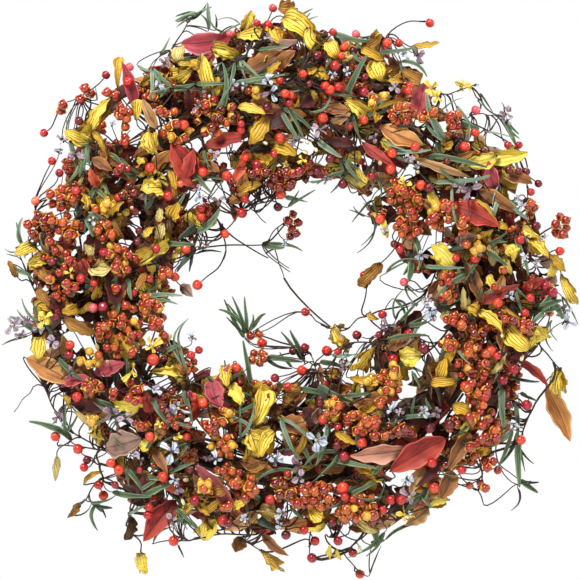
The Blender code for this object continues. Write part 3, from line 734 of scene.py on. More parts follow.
# husk leaves: base, tip, width, style
HUSKS = """
202,512,222,498,8,g  232,508,250,499,8,y  206,498,228,489,9,b  196,505,210,516,7,g  360,410,380,401,8,g  248,470,268,462,9,b
91,131,111,96,12,y  119,90,121,57,9,g  91,126,79,135,10,p  91,143,64,131,12,y  93,132,107,158,12,g
155,153,148,129,14,y  180,46,176,63,12,t  213,47,240,55,16,y  192,68,172,80,15,y  212,92,204,56,13,y
215,96,218,76,7,g  199,70,190,60,10,g  244,31,252,10,10,y  237,37,262,35,14,y  272,26,281,42,13,g  294,8,278,9,14,b
284,17,310,37,20,y  311,28,326,46,12,y  328,42,337,58,13,y  362,46,383,33,10,b  362,48,384,60,9,g
374,60,382,82,17,y  411,47,440,42,6,g  402,68,421,80,12,b  388,79,403,82,6,g  343,98,369,112,13,y
408,98,372,111,4,g  308,72,317,68,6,g  318,70,328,79,10,g  311,90,317,101,5,y  298,97,293,108,5,g  262,74,281,62,7,g
238,107,267,115,9,y  266,117,248,145,15,g  254,153,270,159,8,g  273,146,297,157,14,g  376,112,376,122,8,g
444,146,453,141,7,g  452,160,475,151,8,b  496,155,463,163,14,p  488,158,529,152,14,p  470,200,497,226,5,g
498,222,508,230,7,g  480,233,494,229,6,g  523,227,542,239,8,p  530,240,549,258,10,y  550,254,566,272,9,g
561,274,577,305,12,y  505,246,514,262,11,p  452,268,430,244,15,p  357,167,364,186,9,y  371,213,388,238,6,p
381,263,356,287,11,b  428,192,436,214,9,y  490,274,497,287,7,p  162,188,141,189,16,y  139,165,145,163,8,p
170,170,176,190,7,g  238,192,262,184,9,g  17,277,8,261,7,b  34,245,14,254,12,y  46,263,27,264,12,y
38,288,50,307,9,b  40,268,58,282,10,b  38,312,50,325,8,p  40,337,38,360,14,y  83,193,87,212,9,g  64,318,98,334,11,b
77,306,62,311,11,g  92,256,84,244,9,c  92,268,112,268,14,c  100,280,95,298,11,g  113,220,124,240,12,b
110,216,125,201,5,g  170,220,178,202,14,g  170,218,172,234,9,d  158,240,163,222,9,c  157,222,160,207,7,c
140,266,168,241,12,p  146,272,136,292,8,b  122,336,134,357,11,p  152,372,180,376,11,p  176,364,184,374,6,b
156,282,170,283,7,b  463,310,463,287,6,c  466,312,469,295,4,c  468,306,478,314,10,g  478,312,503,334,9,y
507,328,529,350,17,y  527,350,535,334,8,y  536,327,547,338,13,p  501,303,529,322,3,g  490,374,507,352,5,c
400,356,421,356,17,p  438,380,446,355,10,g  430,384,458,382,9,g  448,362,455,348,8,g  560,368,557,396,14,y
57,456,55,482,7,c  80,504,67,518,7,b  131,516,125,541,9,d  141,553,146,574,11,p  84,483,104,471,5,g
74,412,92,430,5,c  62,396,70,408,6,g  90,433,104,440,10,p  112,402,140,408,14,p  252,425,264,390,20,y
250,432,258,458,22,y  274,432,262,458,12,y  248,433,274,431,10,y  306,425,292,462,6,g  336,430,356,444,8,g
357,467,376,480,13,g  262,550,284,570,10,g  206,521,202,540,15,p  258,512,280,520,10,c  310,508,322,523,13,y
325,522,306,528,6,p  328,556,330,545,6,p  335,550,340,558,6,p  358,518,378,532,8,c  232,384,243,406,11,p
225,366,228,388,11,y  300,394,285,388,8,b  258,392,262,382,8,g  453,404,473,412,12,g  462,432,468,420,8,p
430,506,448,498,10,p  490,450,480,455,10,g  334,328,349,354,10,y  330,338,345,350,6,y  330,328,345,325,8,p
376,347,356,370,15,y  350,378,380,380,12,g  370,312,378,318,7,g
"""
# leaves: base, tip, width, style
LEAVES = """
192,494,224,486,11,B  364,398,386,392,9,B  240,460,276,472,12,B
181,43,234,34,20,P  135,108,121,60,12,P  190,113,188,86,8,M  196,188,170,142,24,R  97,188,89,168,9,O
92,158,113,171,10,B  100,150,122,166,10,B  158,130,142,97,10,T  243,72,285,50,18,B  278,66,296,50,13,B
266,50,298,40,9,U  262,125,290,108,20,M  318,95,300,108,12,M  312,60,330,55,12,M  250,100,285,110,12,B
206,146,249,137,13,R  245,162,232,184,9,O  250,150,238,165,8,O  186,178,194,148,12,R  322,104,352,110,12,B
330,122,352,113,8,T  325,138,358,142,9,M  362,142,396,166,10,R  208,162,220,172,8,B  415,120,424,80,18,P
380,126,425,145,18,K  412,158,473,178,8,T  495,190,488,160,14,P  498,174,534,184,12,B  26,358,80,388,20,K
52,285,70,268,16,M  50,298,64,310,10,M  80,278,84,258,14,R  112,268,118,310,18,M  138,198,158,196,6,U
158,200,170,212,10,M  180,285,193,297,10,U  94,374,126,363,14,P  55,245,66,262,9,B  478,190,520,214,12,B
452,205,500,227,20,R  413,200,412,235,8,B  455,240,478,236,12,U  466,262,484,306,12,B  474,302,521,284,12,R
522,288,548,279,9,R  503,345,520,362,16,M  516,358,550,388,8,R  385,350,415,338,10,B  72,404,112,408,12,M
105,448,142,438,24,U  176,500,143,542,20,R  150,448,168,476,9,B  60,385,92,378,10,P  212,378,222,411,17,P
214,400,235,415,10,M  284,418,306,436,18,B  303,408,322,428,14,M  408,449,349,456,18,S  195,465,238,520,13,Q
258,512,224,531,12,T  243,537,235,553,13,B  262,534,289,556,9,B  208,392,230,363,7,P  238,366,245,386,8,B
546,386,571,443,17,K  446,439,388,473,24,R  444,458,415,488,8,M  470,432,448,470,14,B  452,470,440,500,16,B
428,508,405,526,14,T  425,468,410,495,12,T  233,205,235,222,7,B  320,366,322,384,7,B
"""
# flowers: x, y, size, style
FLOWERS = """
61,140,8,l  75,155,12,l  60,149,8,w  112,123,5,w  165,63,9,m  158,85,7,w  232,85,8,w  245,86,8,w  268,80,9,w
271,92,12,w  268,38,7,l  333,74,6,w  347,72,6,w  320,130,13,l  200,105,8,m  195,112,7,m  214,152,8,l  296,140,8,m
375,138,9,m  327,180,8,m  197,188,7,l  303,160,8,y  285,163,6,y  418,54,13,m  403,54,8,w  395,87,9,l  507,113,12,l
508,120,8,w  410,158,8,l  418,165,6,w  470,190,14,m  448,113,5,w  460,187,9,w  431,88,11,y  437,97,9,y  463,85,11,y
405,185,10,y  478,85,4,w  12,325,14,l  27,320,9,m  38,328,8,w  20,335,9,l  52,342,10,l  92,220,8,w  53,224,6,w
70,372,8,m  42,215,9,y  45,318,13,y  152,347,14,y  132,372,14,y  70,273,8,y  421,255,11,w  427,300,12,l
430,310,13,w  432,316,12,w  415,305,6,m  388,325,10,m  526,256,7,w  537,262,6,l  510,295,8,w  563,310,10,m
568,322,14,w  478,250,8,m  522,205,8,w  518,198,6,l  545,237,6,w  385,235,6,y  58,417,10,m  63,425,6,w  112,412,12,m
125,418,10,l  133,455,11,l  140,460,8,w  153,390,11,w  172,452,15,w  178,408,15,w  170,412,8,m  175,480,8,w
178,487,9,m  172,520,11,l  95,430,8,y  160,425,8,y  177,437,7,y  216,459,12,w  208,458,7,m  275,460,12,w
297,465,12,m  300,478,13,l  316,440,13,w  282,512,10,w  280,525,8,w  245,518,6,w  345,430,5,w  392,410,10,w
400,412,8,l  422,412,11,w  437,412,9,m  514,426,10,w  410,497,14,l  408,480,9,w  405,515,13,y  205,246,9,m
345,367,8,m  343,360,6,w  385,230,6,w  200,197,9,w  218,200,8,m  285,243,5,w  191,337,8,w
"""
# buds: x, y
BUDS = """
265,143  307,142  316,150  305,152  350,57  380,163  418,172  170,337  108,362  97,347  132,208  502,335  522,358
437,360  183,502  186,480  360,549
"""
# bare twigs: end, end, thickness
TWIGS = """
188,22,170,52,1.5  60,107,85,98,1.3  280,92,300,72,2.5  245,58,256,44,2  385,39,425,22,1.5  440,93,470,87,1.3
470,87,480,100,1.3  482,100,481,108,1  470,115,495,115,1.2  34,240,35,208,1.5  45,388,60,415,1.6  33,387,14,412,1
100,450,60,445,1.5  100,465,80,450,1.5  102,478,80,505,1.6  132,500,130,515,1.5  133,535,141,552,1.5
195,538,175,540,1.5  250,535,190,540,1.6  240,541,265,552,1.4  310,555,310,543,1.3  350,548,315,558,2.2
365,530,350,548,2.5  343,552,358,572,1.4  327,535,338,540,1.3  275,525,287,530,1.3  537,340,559,368,1.6
532,410,521,438,1.8  480,465,482,480,2  478,490,484,505,1.5  395,505,385,520,2  192,252,240,212,1.5
245,212,275,197,1.6  218,221,268,258,1.6  222,225,222,262,1.6  208,247,262,245,1.6  262,245,285,222,1.2
250,208,266,223,1.2  262,245,290,272,1.2  275,250,284,278,1.2  330,328,305,312,1.3  350,327,370,315,1.5
380,333,362,337,1.2  385,340,350,343,1.8  318,372,305,350,1.3
"""
# green blades: base, tip, width, style
BLADES = """
197,13,175,22,4,w  197,16,176,27,3,w  189,15,176,22,2,k  160,55,170,37,3,w  150,68,172,88,5,w  138,66,152,72,3,w
152,70,152,100,4,w  158,76,150,98,4,g  172,88,195,83,6,g  172,88,195,90,5,g  170,88,152,92,4,w  66,130,66,116,1.5,w
70,140,76,168,5,g  84,148,80,178,5,g  88,146,82,172,5,g  80,165,67,182,4,g  110,155,122,166,6,g  102,172,112,178,4,g
104,185,110,195,4,g  97,100,95,87,1.5,w  209,30,207,2,5,w  190,20,212,6,4,w  216,28,215,14,2,k  225,32,208,10,2,w+b
240,24,215,22,1.5,w+b  290,25,313,8,3,w  303,22,318,15,2,w  333,33,372,42,7,w  221,112,224,62,6,g  240,60,262,80,3,w
235,62,215,110,4,g  196,84,232,84,5,g  232,84,286,76,5,w  258,50,288,46,5,g  347,97,368,55,7,g  283,108,314,132,5,g
288,108,304,138,5,g  282,112,300,140,6,g  275,95,300,90,4,g  309,112,332,96,3,w+b  352,112,361,140,4,g
318,140,342,158,7,w  343,158,366,186,4,g  345,172,316,184,4,g  310,182,330,178,3,w  193,172,212,194,5,g
204,150,210,168,3,g  372,168,382,195,4,g  375,53,416,48,5,g  400,62,427,78,4,g+b  445,142,424,92,8,w
385,142,405,150,3,w  387,152,432,150,5,w  428,156,488,170,6,g  432,182,492,178,6,w  480,93,503,116,2,g+b
506,115,505,101,1.5,k+h  503,116,515,140,6,g  508,128,518,150,4,g  440,112,462,97,1.5,w  456,106,472,128,4,w
460,122,480,128,7,g  490,131,500,114,1.5,k  466,142,469,124,4,w  486,132,514,138,2,w  22,244,22,217,5,w
14,252,4,249,1.2,w  14,256,6,254,1,w  28,242,45,233,2,k+b  16,270,34,279,5,g  38,322,22,298,3,w  38,332,10,315,6,w
40,326,32,300,3,g  28,336,1,344,3,g  86,218,92,238,6,g  100,220,88,212,5,w  97,190,106,200,5,g  196,226,178,240,8,k
166,243,195,244,6,g  192,250,176,272,7,k  128,278,132,300,6,g  141,296,183,295,5,w  148,302,178,304,4,w
150,296,165,307,4,w  187,372,176,316,3,w+h  183,368,175,318,3,w+h  58,358,82,380,6,g  62,360,72,378,4,k
138,352,134,342,5,g  128,376,128,358,5,g  165,352,180,344,5,g  113,322,122,298,4,g  452,188,457,226,3,w
413,236,420,272,6,g  412,262,408,282,9,g  386,273,424,262,2.5,g+b  424,266,465,268,4,w  467,274,433,298,6,g
450,250,475,247,4,k  488,244,507,232,5,g  515,238,530,276,5,g  488,252,508,266,6,g  508,200,530,220,5,w
513,284,523,316,3,g  483,294,506,284,4,w  536,310,562,300,9,g  545,300,565,318,8,g  562,296,578,325,2,g
552,320,552,352,2,g+b  400,322,424,296,4,g  395,300,405,325,3,g  408,325,433,318,5,g  386,340,430,335,5,g
396,320,406,288,2,g+b  405,285,415,305,2,g  440,304,468,293,5,g  457,348,471,365,3,w  412,372,420,388,5,g
508,376,540,382,4,k  72,440,28,422,7,g+b  66,432,67,400,4,g  92,400,135,412,6,g  136,411,92,427,6,g
112,435,135,456,4,g  152,398,168,424,6,g  164,422,197,428,5,g  184,390,193,424,6,g  146,450,155,436,3,g
157,446,176,436,2.5,g  168,472,195,462,5,g  188,444,174,462,5,g  126,468,146,494,6,g  112,492,152,496,6,g
144,496,172,484,7,g  140,490,165,470,4,g  90,502,118,496,5,g  92,502,113,507,5,k  96,504,99,531,4,g+b
72,515,92,503,1.5,k+b  104,478,117,497,1.5,k+b  128,515,152,502,3,w  176,508,197,528,4,g  175,520,197,527,5,g
153,543,180,528,2,g+b  178,545,184,558,2,g  146,478,170,482,5,g  281,418,300,462,5,w  237,413,262,398,4,g
240,438,254,402,3,w  327,424,322,452,5,w  300,440,312,468,5,g  318,432,318,462,4,w  326,440,316,466,5,g
340,452,300,474,4,g+b  300,474,252,486,4,g+b  332,460,378,470,6,g  384,462,370,478,5,g  350,495,384,478,5,g
378,500,385,480,3,g  300,388,345,395,6,g  345,396,374,392,5,g  318,385,356,402,7,g  385,532,345,557,5,g+b
372,545,385,540,8,g  375,530,380,545,8,g  370,574,382,545,1.5,k  290,505,305,520,4,g  258,520,275,530,8,k
190,522,198,528,5,g  412,415,415,395,3,g  432,410,425,397,3,g  403,418,436,416,5,g  385,430,404,420,4,g
502,388,503,428,8,g  516,405,518,440,5,g  517,432,519,488,8,g  519,480,538,493,6,g  520,484,531,481,2,g
518,488,511,511,2.5,k+b  512,428,495,471,5,g  512,430,490,448,4,w  520,448,525,472,2.5,g  520,393,538,401,4,k
415,525,385,540,6,g+b  421,494,432,508,4,g  430,487,415,497,3,g  263,245,303,250,4,g  262,243,285,249,6,g
244,338,224,299,4,g  244,335,231,296,4,g  247,335,243,296,4,g  246,330,219,308,5,g+b  249,330,262,309,5,g+h
252,390,243,340,6,g  304,362,288,330,5,g  302,360,281,331,4,g  266,358,303,364,6,g  292,367,279,352,3,g
320,362,342,366,6,g  332,355,358,354,5,w  196,232,220,208,8,g  196,254,222,252,4,k  285,197,308,202,5,w
288,207,316,190,3,g  371,200,362,247,2,k+b  372,210,357,254,2,k+b  366,216,349,209,2,k
"""


def rows(text, numbers):
    out = []
    for item in text.split():
        parts = item.split(",")
        out.append([float(v) for v in parts[:numbers]] + parts[numbers:])
    return out


def pick(*choices):
    return choices[rng.integers(len(choices))]


# ----------------------------------------------------------------- bare twigs
for x0, y0, x1, y1, w in rows(TWIGS, 5):
    ends = [np.array([x0, y0]), np.array([x1, y1])]
    ends.sort(key=lambda e: abs(np.hypot(e[0] - 290, e[1] - 287) - 190))
    (ax, ay), (bx, by) = ends
    a, b = place(ax, ay, front(ax, ay) - 0.002), place(bx, by, front(bx, by) - 0.001 + rng.normal() * 0.003)
    along = unit(b - a)
    i, _ = branch(a, "berry_spray", w * U * 0.55, "twig", heading=along)
    side = np.array([along[2], 0, -along[0]])
    sag = rng.normal() * 0.05 * np.linalg.norm(b - a)
    u = np.linspace(0, 1, 10)[:, None]
    path = a + (b - a) * u + side * sag * np.sin(math.pi * u)
    path = kinked(path, 0.0012)
    add_tubes(bunches[i], path[None], np.linspace(w, w * 0.7, 10) * U * 0.55, pick("twig", "twig", "twig_grey"), 6)
    holds(i, path)

# --------------------------------------------------------------------- berries
BERRY = {"o": "berry_orange", "r": "berry_red", "c": "berry_crimson", "d": "berry_dark", "p": "berry_pink", "s": "berry_salmon"}
SEED = {"r": "seed_red", "o": "seed_orange", "y": "seed_yellow", "d": "seed_dark", "c": "seed_crimson"}
VALVE = {"o": "valve_orange", "y": "valve_yellow", "r": "valve_red"}
placed = []


def clear(point, radius, most=0.016):
    """The point, brought forward until its ball is clear of the others."""
    point = np.array(point, float)
    start = point[1]
    for _ in range(6):
        if not placed:
            break
        other = np.array(placed)
        flat = np.hypot(other[:, 0] - point[0], other[:, 2] - point[2])
        need = (other[:, 3] + radius) * 0.94
        near = (flat < need) & (np.abs(other[:, 1] - point[1]) < np.sqrt(np.clip(need ** 2 - flat ** 2, 0, None)) - 1e-5)
        if not near.any():
            break
        j = np.flatnonzero(near)[0]
        point[1] = other[j, 1] - math.sqrt(max(need[j] ** 2 - flat[j] ** 2, 0)) - 1e-4
        if start - point[1] > most:
            point[1] = start - most
            break
    placed.append((*point, radius))
    return point


for x, y, r, colour in rows(BERRIES, 3):
    point = place(x, y, front(x, y) + 0.004 + rng.normal() * 0.003)
    point = clear(point, r * U)
    i, head = branch(point, "berry_spray", 0.00062, "twig", stop=r * U * 0.8)
    add_balls(bunches[i], point, r * U, head, BERRY[colour])

VALVE_BALL = ball(5, 8)


def add_capsules(bunch, centres, radius, axes, seed, valve, opening):
    """Bittersweet: a seed with three valves folded back from it."""
    N = len(centres)
    M = turn_to(axes, rng.uniform(0, 6.28, N))
    radius = np.asarray(radius)
    add_balls(bunch, centres, radius * 0.86, axes, seed, fine=False, lumpy=0.03)
    T = VALVE_BALL
    x, y, z = T[..., 0], T[..., 1], T[..., 2]
    tpl = np.stack([x, (z + 1) / 2, np.sign(y) * 0.5 + 0.5], -1)
    for k in range(3):
        a = 2 * math.pi * k / 3 + rng.uniform(-0.25, 0.25, N)
        o = (opening * rng.uniform(0.7, 1.3, N))[:, None, None]
        up = -0.42 + 0.62 * z - 0.10 * x * x
        out = 0.68 + 0.17 * y + o * np.clip(z + 0.2, 0, None) ** 1.5 - 0.34 * x * x - 0.34 * np.clip(-z, 0, None) ** 2
        across = 0.76 * x * (1 - 0.30 * z)
        up, out, across = np.broadcast_arrays(up[None], out, across[None])
        ca, sa = np.cos(a)[:, None, None], np.sin(a)[:, None, None]
        local = np.stack([out * ca - across * sa, out * sa + across * ca, up], -1)
        P = centres[:, None, None] + np.einsum("nij,nrcj->nrci", M, local) * radius[:, None, None, None]

        def end(z0):
            e_up = -0.42 + 0.66 * z0
            e_out = 0.68 + (opening * max(z0 + 0.2, 0) ** 1.5) - 0.34 * max(-z0, 0) ** 2
            e = np.stack([np.cos(a) * e_out, np.sin(a) * e_out, np.full(N, e_up)], -1)
            return centres + np.einsum("nij,nj->ni", M, e) * radius[:, None]
        bunch.add(P, tpl, valve, (end(-1.0), end(1.0)), ((0, 0, 0.5), (0, 1, 0.5)))


MIXES = {
    "r": ("rrrro", "rroo"), "o": ("rroro", "oooy"), "rc": ("rr", "rroy"), "m": ("rroyr", "oyoo"), "od": ("rdord", "ooro"),
    "y": ("yoy", "yyy"), "rd": ("rdrrd", "roro"), "ro": ("rrrof", "ooro"), "oy": ("royoy", "oyyo"), "dg": ("drd", "ory"),
    "c": ("ccrc", "rro"), "rx": ("rcc", "roro"), "g": ("yoy", "yoo"), "d": ("dddr", "rrro"), "dy": ("ddrd", "oyyr"),
    "co": ("ccroo", "ooro"), "og": ("oro", "yoo"), "yo": ("oyy", "yoy"), "rp": ("rrcro", "oro"), "ry": ("ry", "oy"),
}


def cluster(cx, cy, rx, ry, n, mix, depth, size=5.2, solid=True, spread=0.006):
    """Capsules round one twig."""
    n = max(1, int(n))
    pts = []
    for _ in range(n):
        best, far = None, -1
        for _ in range(14):
            a, q = rng.uniform(0, 6.283), math.sqrt(rng.uniform(0, 1))
            c = np.array([cx + (rx - 1) * q * math.cos(a), cy + (ry - 1) * q * math.sin(a)])
            d = min([np.hypot(*(c - p)) for p in pts], default=99)
            if d > far:
                best, far = c, d
        pts.append(best)
    pts = np.array(pts)
    hub = place(cx, cy, depth - 0.013)
    i, head = branch(hub, "bittersweet_spray", 0.00075, "twig", stop=0)
    bunch = bunches[i]
    seeds, valves = MIXES[mix]
    groups = {}
    for c in pts:
        r = size * rng.uniform(0.86, 1.1) * U
        p = place(c[0], c[1], depth - 0.001 + rng.normal() * spread * 0.5 - 0.002 * np.hypot(c[0] - cx, c[1] - cy) / 8)
        if solid:
            p = clear(p, r, 0.012)
        off = unit(p - hub)
        axis = unit(off * 0.7 + np.array([0, -0.55, 0]) + rng.normal(size=3) * 0.35)
        start = hub - head * rng.uniform(0.0, 0.010)
        path = curve(start, unit(head + off * 0.5), p - axis * r * 0.7, axis, 6)
        add_tubes(bunch, path[None], np.linspace(0.00055, 0.0004, 6), "twig", 4)
        s = seeds[rng.integers(len(seeds))].replace("f", "o")
        v = valves[rng.integers(len(valves))]
        groups.setdefault((s, v), []).append((p, r, axis))
    for (s, v), items in groups.items():
        add_capsules(bunch, np.array([q[0] for q in items]), np.array([q[1] for q in items]), np.array([q[2] for q in items]),
                     SEED[s], VALVE[v], rng.uniform(0.02, 0.42))


for cx, cy, rx, ry, n, mix in rows(CLUSTERS, 5):
    cluster(cx, cy, rx, ry, n, mix, front(cx, cy) + 0.001)

# ------------------------------------------------------------ leaves and husks
def stalk_leaf(bx, by, tx, ty, w, look, kind, d0, d1, profile, stalk="twig", thick=0.0006, **shape):
    base, tip = place(bx, by, d0), place(tx, ty, d1)
    along = unit(tip - base)
    i, _ = branch(base + along * 0.001, kind, thick, stalk, heading=along)
    add_leaf(bunches[i], base, tip, w * U, look, profile, **shape)
    return i


for bx, by, tx, ty, w, look in rows(LEAVES, 5):
    d = front((bx + tx) / 2, (by + ty) / 2)
    tilt = rng.normal() * 0.22
    stalk_leaf(bx, by, tx, ty, w * 1.16, "leaf_" + look, "leaf_spray", d - 0.010 + rng.normal() * 0.002, d - 0.001 + rng.normal() * 0.004,
               "leaf", rows=18, cols=16, bow=rng.uniform(0.02, 0.12), bend=rng.normal() * 0.04, cup=rng.uniform(0.15, 0.5),
               twist=rng.normal() * 0.35, ripple=rng.uniform(0.06, 0.16), tilt=tilt, crumple=0.02, curl=rng.uniform(-0.05, 0.15))

for bx, by, tx, ty, w, look in rows(HUSKS, 5):
    look = {"t": "c"}.get(look, look)
    d = front((bx + tx) / 2, (by + ty) / 2)
    d0, d1 = d - 0.004 + rng.normal() * 0.002, d + 0.002 + rng.normal() * 0.003
    # Turned about its own length, it shows its fold and one side of its inside.
    turned = pick(0.0, 0.0, -0.75, 0.75, -0.45, 0.45)
    wide = w * 1.12 / max(math.cos(turned), 0.6)
    shape = pick("husk", "husk", "fan", "leaf") if w >= 7 else "husk"
    i = stalk_leaf(bx, by, tx, ty, wide, "husk_" + look, "leaf_spray", d0, d1, shape, rows=22, cols=20,
                   bow=rng.uniform(0.06, 0.24), bend=rng.normal() * 0.07, cup=rng.uniform(0.3, 0.9), twist=rng.normal() * 0.6,
                   ripple=rng.uniform(0.08, 0.2), tilt=turned + rng.normal() * 0.12, crumple=rng.uniform(0.05, 0.15), curl=rng.uniform(-0.1, 0.3))
    if w >= 10:
        # Other valves of the same husk, behind and beside it.
        mx, my = tx - bx, ty - by
        L = math.hypot(mx, my)
        for s, back_off, share in ((pick(-1, 1), 0.005, 0.88), (0, 0.009, 0.7)):
            s = s or pick(-1, 1)
            ex, ey = bx + mx * share + s * my / L * w * 0.45, by + my * share - s * mx / L * w * 0.45
            add_leaf(bunches[i], place(bx, by, d0 - 0.001), place(ex, ey, d1 - back_off), w * U * 0.8, "husk_" + pick(look, look, "g", "b"), pick("husk", "fan"),
                     rows=16, cols=14, bow=rng.uniform(0.0, 0.12), cup=rng.uniform(0.4, 0.9), twist=rng.normal() * 0.5, ripple=0.14,
                     tilt=s * rng.uniform(0.3, 0.8), crumple=0.10, curl=rng.uniform(0, 0.25))

# --------------------------------------------------------------------- flowers
PETAL = {"w": "petal_w", "l": "petal_l", "m": "petal_m", "y": "petal_y"}
for x, y, size, look in rows(FLOWERS, 3):
    d = front(x, y) + 0.006 + rng.normal() * 0.002
    point = place(x, y, d)
    i, head = branch(point, "greenery_spray", 0.00045, "twig_grey", stop=0.001)
    face = unit(np.array([rng.normal() * 0.35, -1, rng.normal() * 0.35]))
    a0 = rng.uniform(0, 6.28)
    M = turn_to(face[None], np.array([a0]))[0]
    many = int(pick(3, 4, 4, 5))
    for k in range(many):
        a = 2 * math.pi * k / many + rng.uniform(-0.55, 0.55)
        out = M[:, 0] * math.cos(a) + M[:, 1] * math.sin(a)
        reach = size * U * 0.84 * rng.uniform(0.55, 1.15)
        tip = point + unit(out + face * rng.uniform(-0.3, 0.6)) * reach
        wide = min(reach * 0.72, size * U * 0.62) * rng.uniform(0.75, 1.1)
        add_leaf(bunches[i], point + out * reach * 0.08, tip, wide, PETAL[look] if rng.random() > 0.2 or look == "y" else pick("petal_l", "petal_w", "petal_m"),
                 pick("petal", "fan"), rows=9, cols=10, bow=rng.uniform(-0.05, 0.2), cup=rng.uniform(0.2, 0.9), twist=rng.normal() * 0.5,
                 ripple=0.14, tilt=rng.normal() * 0.5, face=face, crumple=0.08, curl=rng.uniform(-0.1, 0.25))
    add_balls(bunches[i], point + face * 0.0006, size * U * 0.13, face, "petal_y" if look == "y" else pick("bud_cream", "twig_grey", "petal_m"), fine=False)
    for k in range(3 if look != "y" else 2):
        add_leaf(bunches[i], point - head * 0.004 - face * 0.001, point - head * 0.002 + unit(rng.normal(size=3) + np.array([0, 0.4, 0])) * size * U * 0.5, 0.0024,
                 "blade_k", "blade", rows=6, cols=6, bow=0.1)

for x, y in rows(BUDS, 2):
    point = place(x, y, front(x, y) + 0.005)
    i, head = branch(point, "greenery_spray", 0.00045, "twig_grey", stop=0.003)
    add_balls(bunches[i], point, 3.1 * U, head, "bud_cream", fine=False, squash=(0.62, 0.62, 1.25), lumpy=0.05)

# --------------------------------------------------------------------- blades
for bx, by, tx, ty, w, look in rows(BLADES, 5):
    tone = look[0]
    bent = (0.20 if w < 5 else 0.10) * pick(-1, 1) if "+b" in look else rng.normal() * 0.05
    hook = 0.22 * pick(-1, 1) if "+h" in look else rng.normal() * 0.03
    d = front((bx + tx) / 2, (by + ty) / 2)
    i = stalk_leaf(bx, by, tx, ty, w * 0.96 + 0.3, "blade_" + tone, "greenery_spray", d - 0.004 + rng.normal() * 0.002, d + 0.004 + rng.normal() * 0.005,
                   "blade", stalk="twig_grey", thick=0.0005, rows=16, cols=8, bow=rng.uniform(0.02, 0.14), bend=bent, cup=rng.uniform(0.0, 0.35),
                   twist=rng.normal() * 0.6, ripple=0.04, tilt=rng.normal() * 0.35, hook=hook)
    if rng.random() < 0.45 and math.hypot(tx - bx, ty - by) > 14:
        # A thinner blade of the same tuft.
        a, q = pick(-1, 1) * rng.uniform(0.2, 0.6), rng.uniform(0.6, 0.95)
        mx, my = (tx - bx) * q, (ty - by) * q
        ex, ey = bx + mx * math.cos(a) - my * math.sin(a), by + mx * math.sin(a) + my * math.cos(a)
        add_leaf(bunches[i], place(bx, by, d - 0.004), place(ex, ey, d + 0.001), (1.6 + 0.35 * w) * U, "blade_" + pick(tone, "g", "k"), "blade",
                 rows=12, cols=6, bow=rng.uniform(0.02, 0.14), bend=rng.normal() * 0.08, cup=0.2, twist=rng.normal() * 0.7, tilt=rng.normal() * 0.4, thick=0.0005)

# ------------------------------------------- what fills the body of the wreath
seen = [(r[0], r[1]) for r in rows(BERRIES, 3)] + [(r[0], r[1]) for r in rows(CLUSTERS, 5)]
for table in (HUSKS, LEAVES, BLADES):
    for r in rows(table, 5):
        seen += [(r[0], r[1]), ((r[0] + r[2]) / 2, (r[1] + r[3]) / 2)]
seen = np.array(seen)


# How far out and in the close-grown part reaches, every 10 degrees from three
# o'clock, anticlockwise.
OUTER = [270, 262, 258, 252, 238, 234, 246, 260, 256, 266, 264, 262, 256, 262, 266, 262, 242, 262,
         258, 262, 262, 248, 246, 262, 264, 250, 250, 244, 244, 262, 262, 252, 260, 260, 246, 248]
INNER = [142, 118, 114, 110, 106, 116, 116, 114, 112, 96, 98, 100, 98, 104, 102, 102, 106, 122,
         114, 130, 134, 122, 124, 110, 96, 98, 92, 92, 98, 96, 90, 90, 94, 104, 114, 128]


def reach_at(x, y):
    a = np.degrees(np.arctan2(287 - y, x - 290)) % 360 / 10
    turns = np.arange(37)
    return np.interp(a, turns, OUTER + OUTER[:1]), np.interp(a, turns, INNER + INNER[:1])


def inside(x, y, margin=0.0):
    rho = math.hypot(x - 290, y - 287)
    far, near = reach_at(x, y)
    return near + margin < rho < far - margin


def ground(step, near, most, low=80, high=290):
    """An even, jittered grid of places behind what is already there, and never
    in the open."""
    out = []
    for gy in np.arange(4, 576, step):
        for gx in np.arange(4, 576, step):
            x, y = gx + rng.uniform(-0.5, 0.5) * step, gy + rng.uniform(-0.5, 0.5) * step
            if not inside(x, y, 3.0):
                continue
            if (np.hypot(seen[:, 0] - x, seen[:, 1] - y) < near).sum() >= most:
                out.append((x, y))
    return out


def along_ring(x, y, wander, low, high):
    """An end point clockwise from here."""
    for _ in range(12):
        a = math.atan2(287 - y, x - 290) - math.pi / 2 + rng.normal() * wander
        L = rng.uniform(low, high)
        ends = x - L * 0.4 * math.cos(a), y + L * 0.4 * math.sin(a), x + L * 0.6 * math.cos(a), y - L * 0.6 * math.sin(a)
        if inside(ends[0], ends[1], -2.0) and inside(ends[2], ends[3], 1.0):
            break
        high = max(low, high * 0.88)
        low *= 0.93
    return ends


# Dark leaves low down, close together.
for x, y in ground(11.0, 15, 3):
    far = front(x, y)
    d = far * rng.uniform(0.10, 0.50)
    x0, y0, x1, y1 = along_ring(x, y, 0.9, 20, 36)
    look = "leaf_" + pick("M", "M", "B", "B", "B", "Q", "R", "K", "T", "U")
    stalk_leaf(x0, y0, x1, y1, rng.uniform(11, 19), look, "leaf_spray", d, min(d + rng.normal() * 0.010, far * 0.8), "leaf",
               rows=8, cols=8, bow=rng.uniform(0, 0.15), cup=rng.uniform(0.2, 0.6), twist=rng.normal() * 0.5, ripple=0.12, tilt=rng.normal() * 0.5, crumple=0.03)

